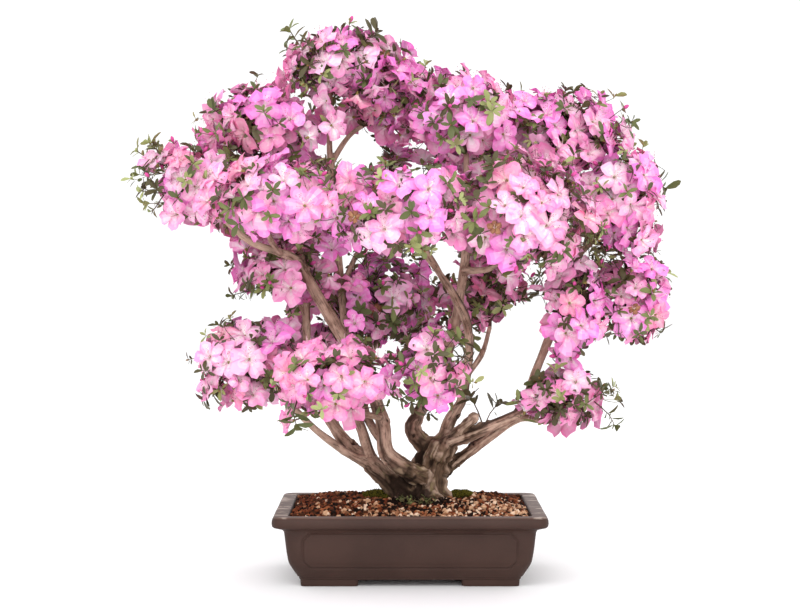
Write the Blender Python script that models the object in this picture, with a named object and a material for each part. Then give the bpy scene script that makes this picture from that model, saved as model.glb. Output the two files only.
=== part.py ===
"""Azalea bonsai in full bloom, standing in a rectangular unglazed pot with four feet.

Metres, +Z up. The origin lies on the ground under the middle of the plant's spread, and -Y is
the front. The pot holds a mounded soil body with two moss cushions. A short trunk and a stem
that leans left rise from one root and carry tapering boughs. Each bough ends where a mass of
foliage begins: twigs that branch by one seeded rule, with blooms and leaves fused on.
"""

import math
import random
from dataclasses import dataclass

import bmesh
import bpy
import numpy as np
from mathutils import Matrix, Vector

# ---------------------------------------------------------------- driving dimensions
GAP = 0.0004  # clearance where one piece meets another
SWELL = 1.2  # how much more a cutter is swollen, to clear its edges too

POT_MIDDLE = Vector((0.013, 0.0, 0.0))
POT_LENGTH = 0.357
POT_DEPTH = 0.272
POT_HEIGHT = 0.094
CORNER_STEPS = 2
FOOT_SIZE = Vector((0.075, 0.045, 0.009))
FOOT_INSET = 0.036  # from the rim's outer edge to a foot's outer face
FOOT_OVERLAP = 0.002

SOIL_TOP = 0.103  # the level patch that the trunk stands on
TRUNK_FOOT = SOIL_TOP + GAP

# (inset from the rim's outer edge, height, corner radius), from the underside, over the rim, to
# the floor inside
POT_PROFILE = (
    (0.035, 0.009, 0.008), (0.034, 0.014, 0.009), (0.0285, 0.019, 0.010), (0.021, 0.033, 0.010),
    (0.0175, 0.054, 0.010), (0.015, 0.074, 0.010), (0.0125, 0.077, 0.010), (0.003, 0.080, 0.012),
    (0.0, 0.085, 0.014), (0.001, 0.0915, 0.014), (0.004, 0.094, 0.013), (0.0195, 0.094, 0.008),
    (0.0215, 0.092, 0.008), (0.026, 0.060, 0.008), (0.036, 0.022, 0.008), (0.045, 0.019, 0.008),
)  # fmt: skip
# the same for the soil: its underside, its wall 0.4 mm inside the pot's, and the mound
SOIL_PROFILE = (
    (0.0460, 0.0195, 0.008), (0.0370, 0.0225, 0.008), (0.0265, 0.0600, 0.008),
    (0.0224, 0.0880, 0.008), (0.0400, 0.0930, 0.016), (0.0600, 0.0980, 0.028),
    (0.0780, 0.1015, 0.036), (0.0920, SOIL_TOP, 0.040),
)  # fmt: skip

# bloom, whorl of leaves and twig, as the masses use them
BLOOM_RADIUS = 0.031
BLOOM_DEPTH = 0.024
BLOOM_THROAT = 0.010  # how deep the open face is dished
BLOOM_DROOP = 0.004  # how far the notches lie behind the petals' tips
BLOOM_SEAT = Vector((0.0045, 0.0, 0.0085))  # where a twig ends inside its bloom
PETALS = 5
PETAL_NOTCH = 0.60  # radius between two petals, as a share of the bloom's
LEAVES = 5  # in a whorl
LEAF_LENGTH = 0.030
LEAF_NOTCH = 0.30  # radius between two leaves, as a share of a leaf's length
LEAF_RISE = 0.009
WHORL_THICKNESS = 0.005
WHORL_SEAT = Vector((0.0045, 0.0, 0.0034))
TWIG_RADIUS = 0.0017
TWIG_TAPER = 0.7
SIDE_TWIG = 0.7  # a side twig's thickness, as a share of a twig's
STEM_TAPER = 0.8

CLEAR_OF_LIMB = 0.0020
CLEAR_OF_MASS = 0.0012
PROUD = 0.007  # how far a petal or leaf may pass its mass's ellipsoid
BLOOM_SPACING = 0.045
WHORL_SPACING = 0.032
SITES = 90  # directions in which each mass tries to set a bloom or a whorl
GOLDEN_TURN = math.pi * (3.0 - math.sqrt(5.0))

BARK = (0.30, 0.21, 0.16, 1.0)
POT_CLAY = (0.105, 0.066, 0.056, 1.0)
SOIL_RED = (0.33, 0.14, 0.07, 1.0)
MOSS_GREEN = (0.10, 0.14, 0.03, 1.0)
PETAL_PINK = (0.86, 0.30, 0.55, 1.0)


# ---------------------------------------------------------------- the plant's limbs and masses
@dataclass
class Limb:
    """One tapering limb: its route starts inside what carries it and ends at its tip."""

    name: str
    root_radius: float
    tip_radius: float
    route: tuple
    steps: int = 2  # stretches between two points of the route
    knuckled: bool = False  # whether its top closes in a blunt round knuckle


@dataclass
class Mass:
    """One mass of foliage: it grows from its bough's tip and fills an ellipsoid."""

    name: str
    bough: str
    middle: tuple
    reach: tuple
    blooms: int = 5
    whorls: int = 2


TRUNK = Limb(
    "trunk", 0.0245, 0.0195,
    ((0.043, 0.002, 0.090), (0.042, 0.002, 0.125), (0.048, 0.0, 0.155), (0.058, -0.004, 0.178)),
    3, True,
)  # fmt: skip
LEANING_STEM = Limb(
    "leaning_stem", 0.0150, 0.0125,
    ((0.026, 0.004, 0.088), (0.008, 0.002, 0.114), (-0.014, 0.0, 0.130), (-0.038, 0.0, 0.149)),
    2, True,
)  # fmt: skip

# Each is cut to fit the limbs before it, so a limb comes after what carries it.
BOUGHS = (
    Limb("bough_knee", 0.0115, 0.0072,
         ((0.034, -0.008, 0.132), (0.006, -0.026, 0.149), (-0.017, -0.029, 0.170),
          (-0.020, -0.022, 0.196), (-0.026, -0.014, 0.222), (-0.056, -0.010, 0.285),
          (-0.086, -0.004, 0.332), (-0.136, 0.0, 0.420))),
    Limb("bough_left_reach", 0.0066, 0.0034,
         ((-0.127, 0.0, 0.408), (-0.146, 0.0, 0.428), (-0.198, -0.008, 0.447),
          (-0.247, -0.010, 0.488))),
    Limb("bough_centre_left", 0.0105, 0.0036,
         ((0.047, 0.004, 0.164), (0.019, 0.006, 0.192), (0.030, 0.020, 0.222),
          (0.061, 0.030, 0.290), (0.080, 0.004, 0.370), (0.090, -0.022, 0.470),
          (0.088, -0.030, 0.568))),
    Limb("bough_centre", 0.0085, 0.0042,
         ((0.058, -0.004, 0.178), (0.069, 0.0, 0.208), (0.084, 0.0, 0.240), (0.093, -0.004, 0.322),
          (0.072, -0.028, 0.376), (0.046, -0.060, 0.415), (0.016, -0.098, 0.460))),
    Limb("bough_right_low", 0.0098, 0.0064,
         ((0.054, -0.006, 0.172), (0.082, -0.018, 0.187), (0.140, -0.020, 0.209),
          (0.164, -0.008, 0.222))),
    Limb("bough_right_high", 0.0063, 0.0038,
         ((0.160, -0.010, 0.219), (0.172, -0.003, 0.246), (0.193, 0.0, 0.300),
          (0.222, 0.002, 0.372), (0.240, 0.004, 0.435), (0.238, 0.014, 0.545))),
    Limb("bough_low_right", 0.0086, 0.0042,
         ((0.048, 0.004, 0.130), (0.084, 0.012, 0.158), (0.134, 0.020, 0.193),
          (0.163, 0.014, 0.210), (0.182, 0.0, 0.2085), (0.198, -0.008, 0.2065))),
    Limb("dead_stub", 0.0072, 0.0060,
         ((0.066, -0.014, 0.181), (0.086, -0.023, 0.200), (0.101, -0.028, 0.215))),
    Limb("bough_far_left", 0.0062, 0.0032,
         ((-0.036, -0.002, 0.146), (-0.074, -0.012, 0.166), (-0.126, -0.010, 0.208),
          (-0.166, -0.005, 0.253))),
    Limb("bough_left_outer", 0.0088, 0.0038,
         ((-0.034, 0.002, 0.147), (-0.068, 0.012, 0.171), (-0.102, 0.030, 0.217),
          (-0.124, 0.046, 0.282), (-0.130, 0.050, 0.395), (-0.145, 0.046, 0.462),
          (-0.178, 0.036, 0.553))),
    Limb("bough_apex", 0.0072, 0.0034,
         ((-0.036, 0.0, 0.147), (-0.050, -0.002, 0.190), (-0.060, 0.012, 0.225),
          (-0.075, 0.050, 0.341), (-0.088, 0.048, 0.470), (-0.096, 0.036, 0.575),
          (-0.094, 0.014, 0.657))),
    Limb("bough_back_low", 0.0058, 0.0036,
         ((-0.016, -0.026, 0.171), (-0.036, 0.002, 0.197), (-0.047, 0.022, 0.228),
          (-0.040, 0.064, 0.288), (-0.034, 0.080, 0.306))),
    Limb("bough_upper_mid", 0.0036, 0.0028,
         ((-0.094, 0.040, 0.556), (-0.070, 0.048, 0.592), (-0.044, 0.050, 0.612))),
    Limb("bough_left_inner", 0.0036, 0.0028,
         ((-0.128, 0.049, 0.345), (-0.137, 0.046, 0.361), (-0.146, 0.040, 0.374))),
    Limb("bough_left_front", 0.0044, 0.0032,
         ((-0.160, -0.002, 0.433), (-0.170, -0.036, 0.448), (-0.175, -0.076, 0.471))),
    Limb("bough_right_front", 0.0046, 0.0034,
         ((0.086, -0.010, 0.410), (0.116, -0.036, 0.412), (0.139, -0.066, 0.428))),
    Limb("bough_right_reach", 0.0044, 0.0026,
         ((0.205, 0.0, 0.328), (0.245, -0.004, 0.313), (0.284, 0.0, 0.334), (0.300, 0.0, 0.333)),
         2),
    Limb("bough_right_inner", 0.0038, 0.0030,
         ((0.208, 0.0, 0.338), (0.220, -0.012, 0.342), (0.230, -0.022, 0.344))),
    Limb("bough_right_shoulder", 0.0040, 0.0030,
         ((0.239, 0.004, 0.430), (0.262, 0.0, 0.452), (0.281, 0.0, 0.470))),
    Limb("bough_mid_right", 0.0042, 0.0028,
         ((0.087, 0.0, 0.264), (0.110, 0.020, 0.294), (0.124, 0.064, 0.331))),
    Limb("bough_low_front_left", 0.0050, 0.0034,
         ((-0.024, -0.018, 0.214), (-0.046, -0.050, 0.220), (-0.072, -0.090, 0.237))),
    Limb("bough_low_front", 0.0044, 0.0032,
         ((0.030, 0.020, 0.222), (0.036, -0.026, 0.232), (0.038, -0.082, 0.252))),
    Limb("bough_back_left", 0.0044, 0.0032,
         ((-0.132, 0.049, 0.415), (-0.142, 0.076, 0.438), (-0.152, 0.106, 0.452))),
    Limb("bough_back_mid", 0.0044, 0.0032,
         ((-0.079, 0.050, 0.385), (-0.062, 0.088, 0.428), (-0.040, 0.126, 0.464))),
    Limb("bough_back_right", 0.0046, 0.0032,
         ((0.226, 0.002, 0.388), (0.208, 0.050, 0.420), (0.182, 0.102, 0.444))),
    Limb("bough_back_top", 0.0040, 0.0030,
         ((0.090, -0.024, 0.484), (0.100, 0.014, 0.528), (0.112, 0.046, 0.553))),
    Limb("bough_back_low_left", 0.0050, 0.0032,
         ((-0.084, 0.020, 0.192), (-0.096, 0.060, 0.224), (-0.114, 0.094, 0.262))),
    Limb("bough_back_low_right", 0.0044, 0.0030,
         ((0.064, 0.028, 0.298), (0.056, 0.064, 0.262), (0.046, 0.104, 0.262))),
)  # fmt: skip

MASSES = (
    Mass("foliage_apex", "bough_apex", (-0.082, 0.0, 0.690), (0.080, 0.066, 0.054), 6, 3),
    Mass("foliage_upper_mid", "bough_upper_mid", (-0.010, 0.056, 0.656), (0.072, 0.066, 0.056), 6, 1),
    Mass("foliage_upper_centre", "bough_centre_left", (0.086, -0.034, 0.620), (0.076, 0.068, 0.066), 7, 1),
    Mass("foliage_upper_right", "bough_right_high", (0.228, 0.016, 0.600), (0.086, 0.078, 0.064), 8, 1),
    Mass("foliage_right_shoulder", "bough_right_shoulder", (0.298, -0.002, 0.514), (0.064, 0.074, 0.074), 7, 2),
    Mass("foliage_left_shoulder", "bough_left_outer", (-0.198, 0.032, 0.610), (0.086, 0.078, 0.060), 7, 1),
    Mass("foliage_left_reach", "bough_left_reach", (-0.290, -0.012, 0.528), (0.074, 0.072, 0.054), 6, 3),
    Mass("foliage_left_front", "bough_left_front", (-0.174, -0.130, 0.506), (0.096, 0.078, 0.062), 8, 2),
    Mass("foliage_centre_front", "bough_centre", (-0.010, -0.154, 0.492), (0.108, 0.080, 0.066), 9, 1),
    Mass("foliage_right_front", "bough_right_front", (0.160, -0.134, 0.486), (0.102, 0.084, 0.084), 10, 1),
    Mass("foliage_right_reach", "bough_right_reach", (0.314, 0.0, 0.380), (0.056, 0.066, 0.070), 6),
    Mass("foliage_left_inner", "bough_left_inner", (-0.166, 0.030, 0.410), (0.066, 0.064, 0.056), 5, 1),
    Mass("foliage_back_low", "bough_back_low", (-0.026, 0.088, 0.372), (0.076, 0.070, 0.074), 5, 1),
    Mass("foliage_mid_right", "bough_mid_right", (0.118, 0.100, 0.376), (0.072, 0.070, 0.060), 5, 1),
    Mass("foliage_right_inner", "bough_right_inner", (0.240, -0.042, 0.368), (0.060, 0.064, 0.086), 6),
    Mass("foliage_low_left", "bough_far_left", (-0.212, -0.004, 0.288), (0.074, 0.070, 0.072), 7, 2),
    Mass("foliage_low_front_left", "bough_low_front_left", (-0.092, -0.144, 0.276), (0.090, 0.074, 0.056), 8, 2),
    Mass("foliage_low_front", "bough_low_front", (0.044, -0.130, 0.290), (0.052, 0.058, 0.058), 5, 1),
    Mass("foliage_low_right", "bough_low_right", (0.216, -0.024, 0.244), (0.080, 0.066, 0.046), 6, 1),
    Mass("foliage_back_left", "bough_back_left", (-0.180, 0.138, 0.500), (0.092, 0.082, 0.080), 7, 1),
    Mass("foliage_back_mid", "bough_back_mid", (-0.026, 0.146, 0.526), (0.092, 0.080, 0.084), 7, 1),
    Mass("foliage_back_right", "bough_back_right", (0.166, 0.138, 0.500), (0.092, 0.082, 0.084), 7, 1),
    Mass("foliage_back_top", "bough_back_top", (0.118, 0.088, 0.606), (0.072, 0.068, 0.062), 6, 1),
    Mass("foliage_back_low_left", "bough_back_low_left", (-0.138, 0.136, 0.312), (0.070, 0.066, 0.056), 5, 1),
    Mass("foliage_back_low_right", "bough_back_low_right", (0.042, 0.150, 0.292), (0.060, 0.060, 0.054), 4, 1),
)  # fmt: skip


# ---------------------------------------------------------------- scene, collections, materials
def clear_scene():
    """Removes what the start-up scene holds."""
    for obj in list(bpy.data.objects):
        bpy.data.objects.remove(obj, do_unlink=True)


def new_collection(name):
    """A collection of that name under the scene's own."""
    made = bpy.data.collections.new(name)
    bpy.context.scene.collection.children.link(made)
    return made


def new_material(name, colour, roughness, metallic=0.0):
    """A Principled material with that colour, roughness and metallic value."""
    made = bpy.data.materials.new(name)
    made.use_nodes = True
    shader = made.node_tree.nodes["Principled BSDF"]
    shader.inputs["Base Color"].default_value = colour
    shader.inputs["Roughness"].default_value = roughness
    shader.inputs["Metallic"].default_value = metallic
    return made


def link_mesh(name, mesh, collection, material=None):
    """An object of that mesh in that collection, with its material."""
    made = bpy.data.objects.new(name, mesh)
    collection.objects.link(made)
    if material:
        mesh.materials.clear()
        mesh.materials.append(material)
    return made


def mesh_of(build, name):
    """A mesh filled by a function that takes a bmesh."""
    shape = bmesh.new()
    build(shape)
    mesh = bpy.data.meshes.new(name)
    shape.to_mesh(mesh)
    shape.free()
    return mesh


def move_origin(obj, point):
    """Puts the object's origin at a point and leaves its mesh where it is."""
    obj.data.transform(Matrix.Translation(-point))
    obj.location = point


def shells_of(shape):
    """The faces of a bmesh, grouped by the closed surface that they belong to."""
    left = set(shape.faces)
    groups = []
    while left:
        group = {left.pop()}
        edge_of_group = list(group)
        while edge_of_group:
            face = edge_of_group.pop()
            for edge in face.edges:
                found = [other for other in edge.link_faces if other in left]
                left.difference_update(found)
                group.update(found)
                edge_of_group.extend(found)
        groups.append(group)
    return groups


def signed_volume(faces):
    """Volume inside triangles that face outwards."""
    total = 0.0
    for face in faces:
        first, *others = [vert.co for vert in face.verts]
        for a, b in zip(others, others[1:]):
            total += first.dot(a.cross(b)) / 6.0
    return total


def keep_largest_shell(mesh):
    """Drops loose scraps and sealed hollows: every surface but the one that holds most."""
    shape = bmesh.new()
    shape.from_mesh(mesh)
    groups = sorted(shells_of(shape), key=signed_volume)
    scraps = [face for group in groups[:-1] for face in group]
    if scraps:
        bmesh.ops.delete(shape, geom=scraps, context="FACES")
    shape.to_mesh(mesh)
    shape.free()


def apply_modifiers(obj):
    """Makes the object's modifiers permanent."""
    graph = bpy.context.evaluated_depsgraph_get()
    mesh = bpy.data.meshes.new_from_object(obj.evaluated_get(graph))
    mesh.name = obj.name
    obj.modifiers.clear()
    obj.data = mesh


def split_to_triangles(mesh):
    """Makes every face a triangle, so that the mesh and its copies bend in the same places."""
    shape = bmesh.new()
    shape.from_mesh(mesh)
    bmesh.ops.triangulate(shape, faces=shape.faces)
    shape.to_mesh(mesh)
    shape.free()


def carve(obj, cutters):
    """Cuts the object by each cutter and keeps its largest piece.

    The solver is MANIFOLD: EXACT leaves the apex bough uncut where it leaves the stem.
    """
    split_to_triangles(obj.data)
    for cutter in cutters:
        cut = obj.modifiers.new("cut_" + cutter.name[:40], "BOOLEAN")
        cut.operation = "DIFFERENCE"
        cut.solver = "MANIFOLD"
        cut.object = cutter
    apply_modifiers(obj)
    keep_largest_shell(obj.data)


# ---------------------------------------------------------------- pot, soil and moss
def corner_ring(inset, round_by):
    """Points of a rounded rectangle, that far inside the rim's outer edge, anticlockwise."""
    half_x = POT_LENGTH / 2 - inset
    half_y = POT_DEPTH / 2 - inset
    points = []
    for quarter, (side_x, side_y) in enumerate(((1, 1), (-1, 1), (-1, -1), (1, -1))):
        for step in range(CORNER_STEPS + 1):
            angle = math.radians(90) * (quarter + step / CORNER_STEPS)
            x = side_x * (half_x - round_by) + round_by * math.cos(angle)
            y = side_y * (half_y - round_by) + round_by * math.sin(angle)
            points.append(Vector((x, y, 0.0)))
    return points


def rise_through(shape, profile):
    """Extrudes a rounded rectangle through the profile's levels, from its first to its last."""
    top, ring = None, []
    for inset, height, round_by in profile:
        level = corner_ring(inset, round_by)
        if top is None:
            bmesh.ops.create_circle(shape, cap_ends=True, segments=len(level), radius=1.0)
            shape.faces.ensure_lookup_table()
            top = shape.faces[0]
            ring = list(top.verts)
        else:
            made = bmesh.ops.extrude_face_region(shape, geom=[top])
            if len(shape.faces) > len(ring) + 2:
                bmesh.ops.delete(shape, geom=[top], context="FACES_ONLY")
            top = next(item for item in made["geom"] if isinstance(item, bmesh.types.BMFace))
            places = [vert.co.copy() for vert in ring]
            ring = [min(top.verts, key=lambda vert: (vert.co - place).length) for place in places]
        for vert, point in zip(ring, level):
            vert.co = point + Vector((0, 0, height))
    bmesh.ops.recalc_face_normals(shape, faces=shape.faces)


def make_pot(parts, helpers, material):
    """The pot: a shell with a moulded rim, joined to its four feet."""
    mesh = mesh_of(lambda shape: rise_through(shape, POT_PROFILE), "pot")
    pot = link_mesh("pot", mesh, parts, material)
    feet = bpy.data.collections.new("feet")
    helpers.children.link(feet)
    for side_x in (-1, 1):
        for side_y in (-1, 1):
            size = FOOT_SIZE + Vector((0, 0, FOOT_OVERLAP))
            middle = Vector((
                side_x * (POT_LENGTH / 2 - FOOT_INSET - size.x / 2),
                side_y * (POT_DEPTH / 2 - FOOT_INSET - size.y / 2),
                size.z / 2,
            ))  # fmt: skip
            place = Matrix.Translation(middle) @ Matrix.Diagonal((*size, 1.0))
            foot = mesh_of(lambda shape: bmesh.ops.create_cube(shape, size=1.0, matrix=place), "foot")
            link_mesh("foot", foot, feet)
    join = pot.modifiers.new("feet", "BOOLEAN")
    join.operation = "UNION"
    join.solver = "EXACT"
    join.operand_type = "COLLECTION"
    join.collection = feet
    apply_modifiers(pot)
    for foot in list(feet.objects):
        bpy.data.objects.remove(foot)
    pot.location = POT_MIDDLE
    pot.data.set_sharp_from_angle(angle=math.radians(40))
    return pot


def make_soil(parts, material):
    """The soil body: it fills the pot and rises to a low mound."""
    mesh = mesh_of(lambda shape: rise_through(shape, SOIL_PROFILE), "soil")
    soil = link_mesh("soil", mesh, parts, material)
    soil.location = POT_MIDDLE
    return soil


def make_moss(name, middle, size, cutters, parts, material):
    """A moss cushion: the upper half of a flattened ball, cut clear of the limbs' feet."""

    def dome(shape):
        bmesh.ops.create_uvsphere(shape, u_segments=10, v_segments=6, radius=1.0)
        cut = bmesh.ops.bisect_plane(
            shape, geom=shape.verts[:] + shape.edges[:] + shape.faces[:], dist=1e-5,
            plane_co=(0, 0, 0.05), plane_no=(0, 0, -1), clear_outer=True,
        )  # fmt: skip
        rim = [item for item in cut["geom_cut"] if isinstance(item, bmesh.types.BMEdge)]
        bmesh.ops.edgeloop_fill(shape, edges=rim)
        bmesh.ops.translate(shape, verts=shape.verts, vec=(0, 0, -0.05))
        bmesh.ops.scale(shape, verts=shape.verts, vec=size)
        bmesh.ops.translate(shape, verts=shape.verts, vec=(*middle, SOIL_TOP + GAP))
        bmesh.ops.recalc_face_normals(shape, faces=shape.faces)

    moss = link_mesh(name, mesh_of(dome, name), parts, material)
    carve(moss, cutters)
    move_origin(moss, Vector((*middle, SOIL_TOP + GAP)))
    return moss


# ---------------------------------------------------------------- limbs
def smooth_route(points, steps):
    """Points on a Catmull-Rom curve through the given ones, with that many stretches between."""
    given = np.array(points, float)
    ends = np.vstack([2 * given[0] - given[1], given, 2 * given[-1] - given[-2]])
    found = []
    for i in range(len(given) - 1):
        a, b, c, d = ends[i : i + 4]
        for t in np.arange(steps) / steps:
            found.append(
                0.5 * (2 * b + (c - a) * t + (2 * a - 5 * b + 4 * c - d) * t**2
                       + (3 * b - a - 3 * c + d) * t**3)
            )  # fmt: skip
    return np.vstack([found, given[-1]])


def shares_along(line):
    """How far along a line each of its points lies, from 0 to 1."""
    lengths = np.linalg.norm(np.diff(line, axis=0), axis=1)
    return np.concatenate([[0.0], np.cumsum(lengths)]) / lengths.sum()


class GrownLimb:
    """A limb's centre line and radii, which the masses keep clear of."""

    def __init__(self, limb):
        self.name = limb.name
        self.line = smooth_route(limb.route, limb.steps)
        share = shares_along(self.line)
        self.radii = limb.root_radius + (limb.tip_radius - limb.root_radius) * share
        self.tip = Vector(self.line[-1])
        self.heading = Vector(self.line[-1] - self.line[-2]).normalized()
        if limb.knuckled:
            rise = limb.tip_radius * np.array([[0.35], [0.6]])
            self.line = np.vstack([self.line, self.line[-1] + np.array(self.heading) * rise])
            self.radii = np.append(self.radii, limb.tip_radius * np.array([0.82, 0.5]))

    def nearest(self, points):
        """Distance from each point to the limb's surface, which is negative inside it."""
        start, run = self.line[:-1], np.diff(self.line, axis=0)
        to_point = points[:, None, :] - start[None]
        share = (to_point * run).sum(2) / (run * run).sum(1)
        share = np.clip(share, 0.0, 1.0)
        off = np.linalg.norm(to_point - share[..., None] * run, axis=2)
        radius = self.radii[:-1] + share * np.diff(self.radii)
        return (off - radius).min(1)


def tube_mesh(name, line, radii, sides):
    """A round tapering tube along a line, as a closed mesh."""
    curve = bpy.data.curves.new(name, "CURVE")
    curve.dimensions = "3D"
    curve.bevel_depth = 1.0
    curve.bevel_resolution = (sides - 4) // 2
    curve.use_fill_caps = True
    spline = curve.splines.new("POLY")
    spline.points.add(len(line) - 1)
    for point, place, radius in zip(spline.points, line, radii):
        point.co = (*place, 1.0)
        point.radius = radius
    guide = bpy.data.objects.new(name, curve)
    bpy.context.scene.collection.objects.link(guide)
    graph = bpy.context.evaluated_depsgraph_get()
    mesh = bpy.data.meshes.new_from_object(guide.evaluated_get(graph))
    bpy.data.objects.remove(guide)
    shape = bmesh.new()
    shape.from_mesh(mesh)
    bmesh.ops.remove_doubles(shape, verts=shape.verts, dist=1e-5)
    bmesh.ops.recalc_face_normals(shape, faces=shape.faces)
    shape.to_mesh(mesh)
    shape.free()
    return mesh


def cut_level(mesh, height):
    """Cuts a mesh flat at a height and keeps what is above."""
    shape = bmesh.new()
    shape.from_mesh(mesh)
    cut = bmesh.ops.bisect_plane(
        shape, geom=shape.verts[:] + shape.edges[:] + shape.faces[:], dist=1e-6,
        plane_co=(0, 0, height), plane_no=(0, 0, -1), clear_outer=True,
    )  # fmt: skip
    rim = [item for item in cut["geom_cut"] if isinstance(item, bmesh.types.BMEdge)]
    bmesh.ops.edgeloop_fill(shape, edges=rim)
    bmesh.ops.recalc_face_normals(shape, faces=shape.faces)
    shape.to_mesh(mesh)
    shape.free()


def spread_roots(mesh, middle, roots, swell, fade):
    """Pushes a trunk's foot outwards in root lobes that fade upwards."""
    for vert in mesh.vertices:
        out = Vector((vert.co.x - middle[0], vert.co.y - middle[1], 0.0))
        lobe = 0.55 + 0.45 * math.cos(roots * math.atan2(out.y, out.x) + 0.6)
        rise = max(vert.co.z - TRUNK_FOOT, 0.0)
        if out.length > 1e-6:
            vert.co += out.normalized() * swell * lobe * math.exp(-rise / fade)


def swollen_copy(obj, cutters):
    """A cutter a little fatter than the object, so that what it cuts stays clear of it."""
    shape = bmesh.new()
    shape.from_mesh(obj.data)
    shape.normal_update()
    moves = [(vert, vert.normal * GAP * SWELL) for vert in shape.verts]
    for vert, move in moves:
        vert.co += move
    mesh = bpy.data.meshes.new("swollen_" + obj.name)
    shape.to_mesh(mesh)
    shape.free()
    cutter = link_mesh("swollen_" + obj.name, mesh, cutters)
    cutter.matrix_world = obj.matrix_world
    cutter.hide_render = True
    cutter.display_type = "WIRE"
    return cutter


def meets(first, second):
    """Whether two limbs come near enough to touch."""
    samples = np.vstack([first.line, (first.line[1:] + first.line[:-1]) / 2])
    return second.nearest(samples).min() < first.radii.max() + 2 * GAP


def make_limbs(parts, cutters, material):
    """The trunk, the leaning stem and every bough, each cut to fit the ones before it."""
    grown, made_cutters = [], {}
    for limb in (TRUNK, LEANING_STEM, *BOUGHS):
        own = GrownLimb(limb)
        rooted = limb in (TRUNK, LEANING_STEM)
        sides = 12 if rooted else 8 if limb.root_radius > 0.006 else 6
        mesh = tube_mesh(limb.name, own.line, own.radii, sides)
        if rooted:
            spread_roots(mesh, own.line[0][:2], 5, 0.009, 0.011)
            cut_level(mesh, TRUNK_FOOT)
        obj = link_mesh(limb.name, mesh, parts, material)
        carve(obj, [made_cutters[other.name] for other in grown if meets(own, other)])
        made_cutters[limb.name] = swollen_copy(obj, cutters)
        move_origin(obj, Vector(own.line[0]))
        obj.data.shade_smooth()
        obj.data.set_sharp_from_angle(angle=math.radians(50))
        grown.append(own)
    return grown, made_cutters


# ---------------------------------------------------------------- foliage
def star_cone(shape, around):
    """A closed cone, point down at the origin, whose open end is a fan of triangles."""
    bmesh.ops.create_cone(
        shape, cap_ends=True, cap_tris=True, segments=around,
        radius1=0.0, radius2=1.0, depth=1.0,
    )  # fmt: skip
    bmesh.ops.translate(shape, verts=shape.verts, vec=(0, 0, 0.5))


def bloom_shape(shape):
    """An open five-petalled bloom: its face is dished and lobed, and looks along +Z."""
    around = PETALS * 3
    star_cone(shape, around)
    for vert in shape.verts:
        angle = math.atan2(vert.co.y, vert.co.x)
        notch = round(angle / math.tau * around) % 3 == 0
        on_rim = math.hypot(vert.co.x, vert.co.y) > 0.5
        vert.co.z *= BLOOM_DEPTH
        if on_rim:
            reach = BLOOM_RADIUS * (PETAL_NOTCH if notch else 1.0)
            back = BLOOM_DROOP if notch else 0.0
            vert.co = (reach * math.cos(angle), reach * math.sin(angle), vert.co.z - back)
        elif vert.co.z > 0.0:
            vert.co.z -= BLOOM_THROAT
    bmesh.ops.recalc_face_normals(shape, faces=shape.faces)


def whorl_shape(shape):
    """A whorl of pointed leaves that spread from one shoot tip, as one flat star along +Z."""
    around = LEAVES * 2
    star_cone(shape, around)
    for vert in shape.verts:
        angle = math.atan2(vert.co.y, vert.co.x)
        notch = round(angle / math.tau * around) % 2 == 0
        on_rim = math.hypot(vert.co.x, vert.co.y) > 0.5
        if on_rim:
            reach = LEAF_LENGTH * (LEAF_NOTCH if notch else 1.0)
            rise = WHORL_THICKNESS * 0.8 if notch else LEAF_RISE
            vert.co = (reach * math.cos(angle), reach * math.sin(angle), rise)
        else:
            vert.co.z *= WHORL_THICKNESS
    bmesh.ops.recalc_face_normals(shape, faces=shape.faces)


def rod_shape(sides, taper):
    """A builder of a unit rod along +Z that tapers, for twigs and stems."""

    def build(shape):
        bmesh.ops.create_cone(
            shape, cap_ends=True, segments=sides, radius1=1.0, radius2=taper, depth=1.0
        )
        bmesh.ops.translate(shape, verts=shape.verts, vec=(0, 0, 0.5))

    return build


def points_of(mesh):
    """The mesh's vertices, the middles of its edges and those of its faces, as an array."""
    corners = np.array([vert.co for vert in mesh.vertices])
    edges = [corners[list(edge.vertices)].mean(0) for edge in mesh.edges]
    faces = [face.center for face in mesh.polygons]
    return np.vstack([corners, edges, faces])


def placed(points, place):
    """Points moved by a matrix."""
    turn = np.array(place)
    return points @ turn[:3, :3].T + turn[:3, 3]


def aim(origin, direction, spin=0.0):
    """A placement at a point with +Z along a direction."""
    turn = Vector(direction).to_track_quat("Z", "Y").to_matrix().to_4x4()
    return Matrix.Translation(origin) @ turn @ Matrix.Rotation(spin, 4, "Z")


def rod_between(start, end, radius):
    """The placement that stretches a unit rod from one point to another."""
    run = end - start
    return aim(start, run) @ Matrix.Diagonal((radius, radius, run.length, 1.0))


def depth_outside(points, mass):
    """How far points lie outside a mass's ellipsoid, about in metres, negative inside."""
    away = (points - np.array(mass.middle)) / np.array(mass.reach)
    return (np.linalg.norm(away, axis=1) - 1.0) * float(np.mean(mass.reach))


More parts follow.
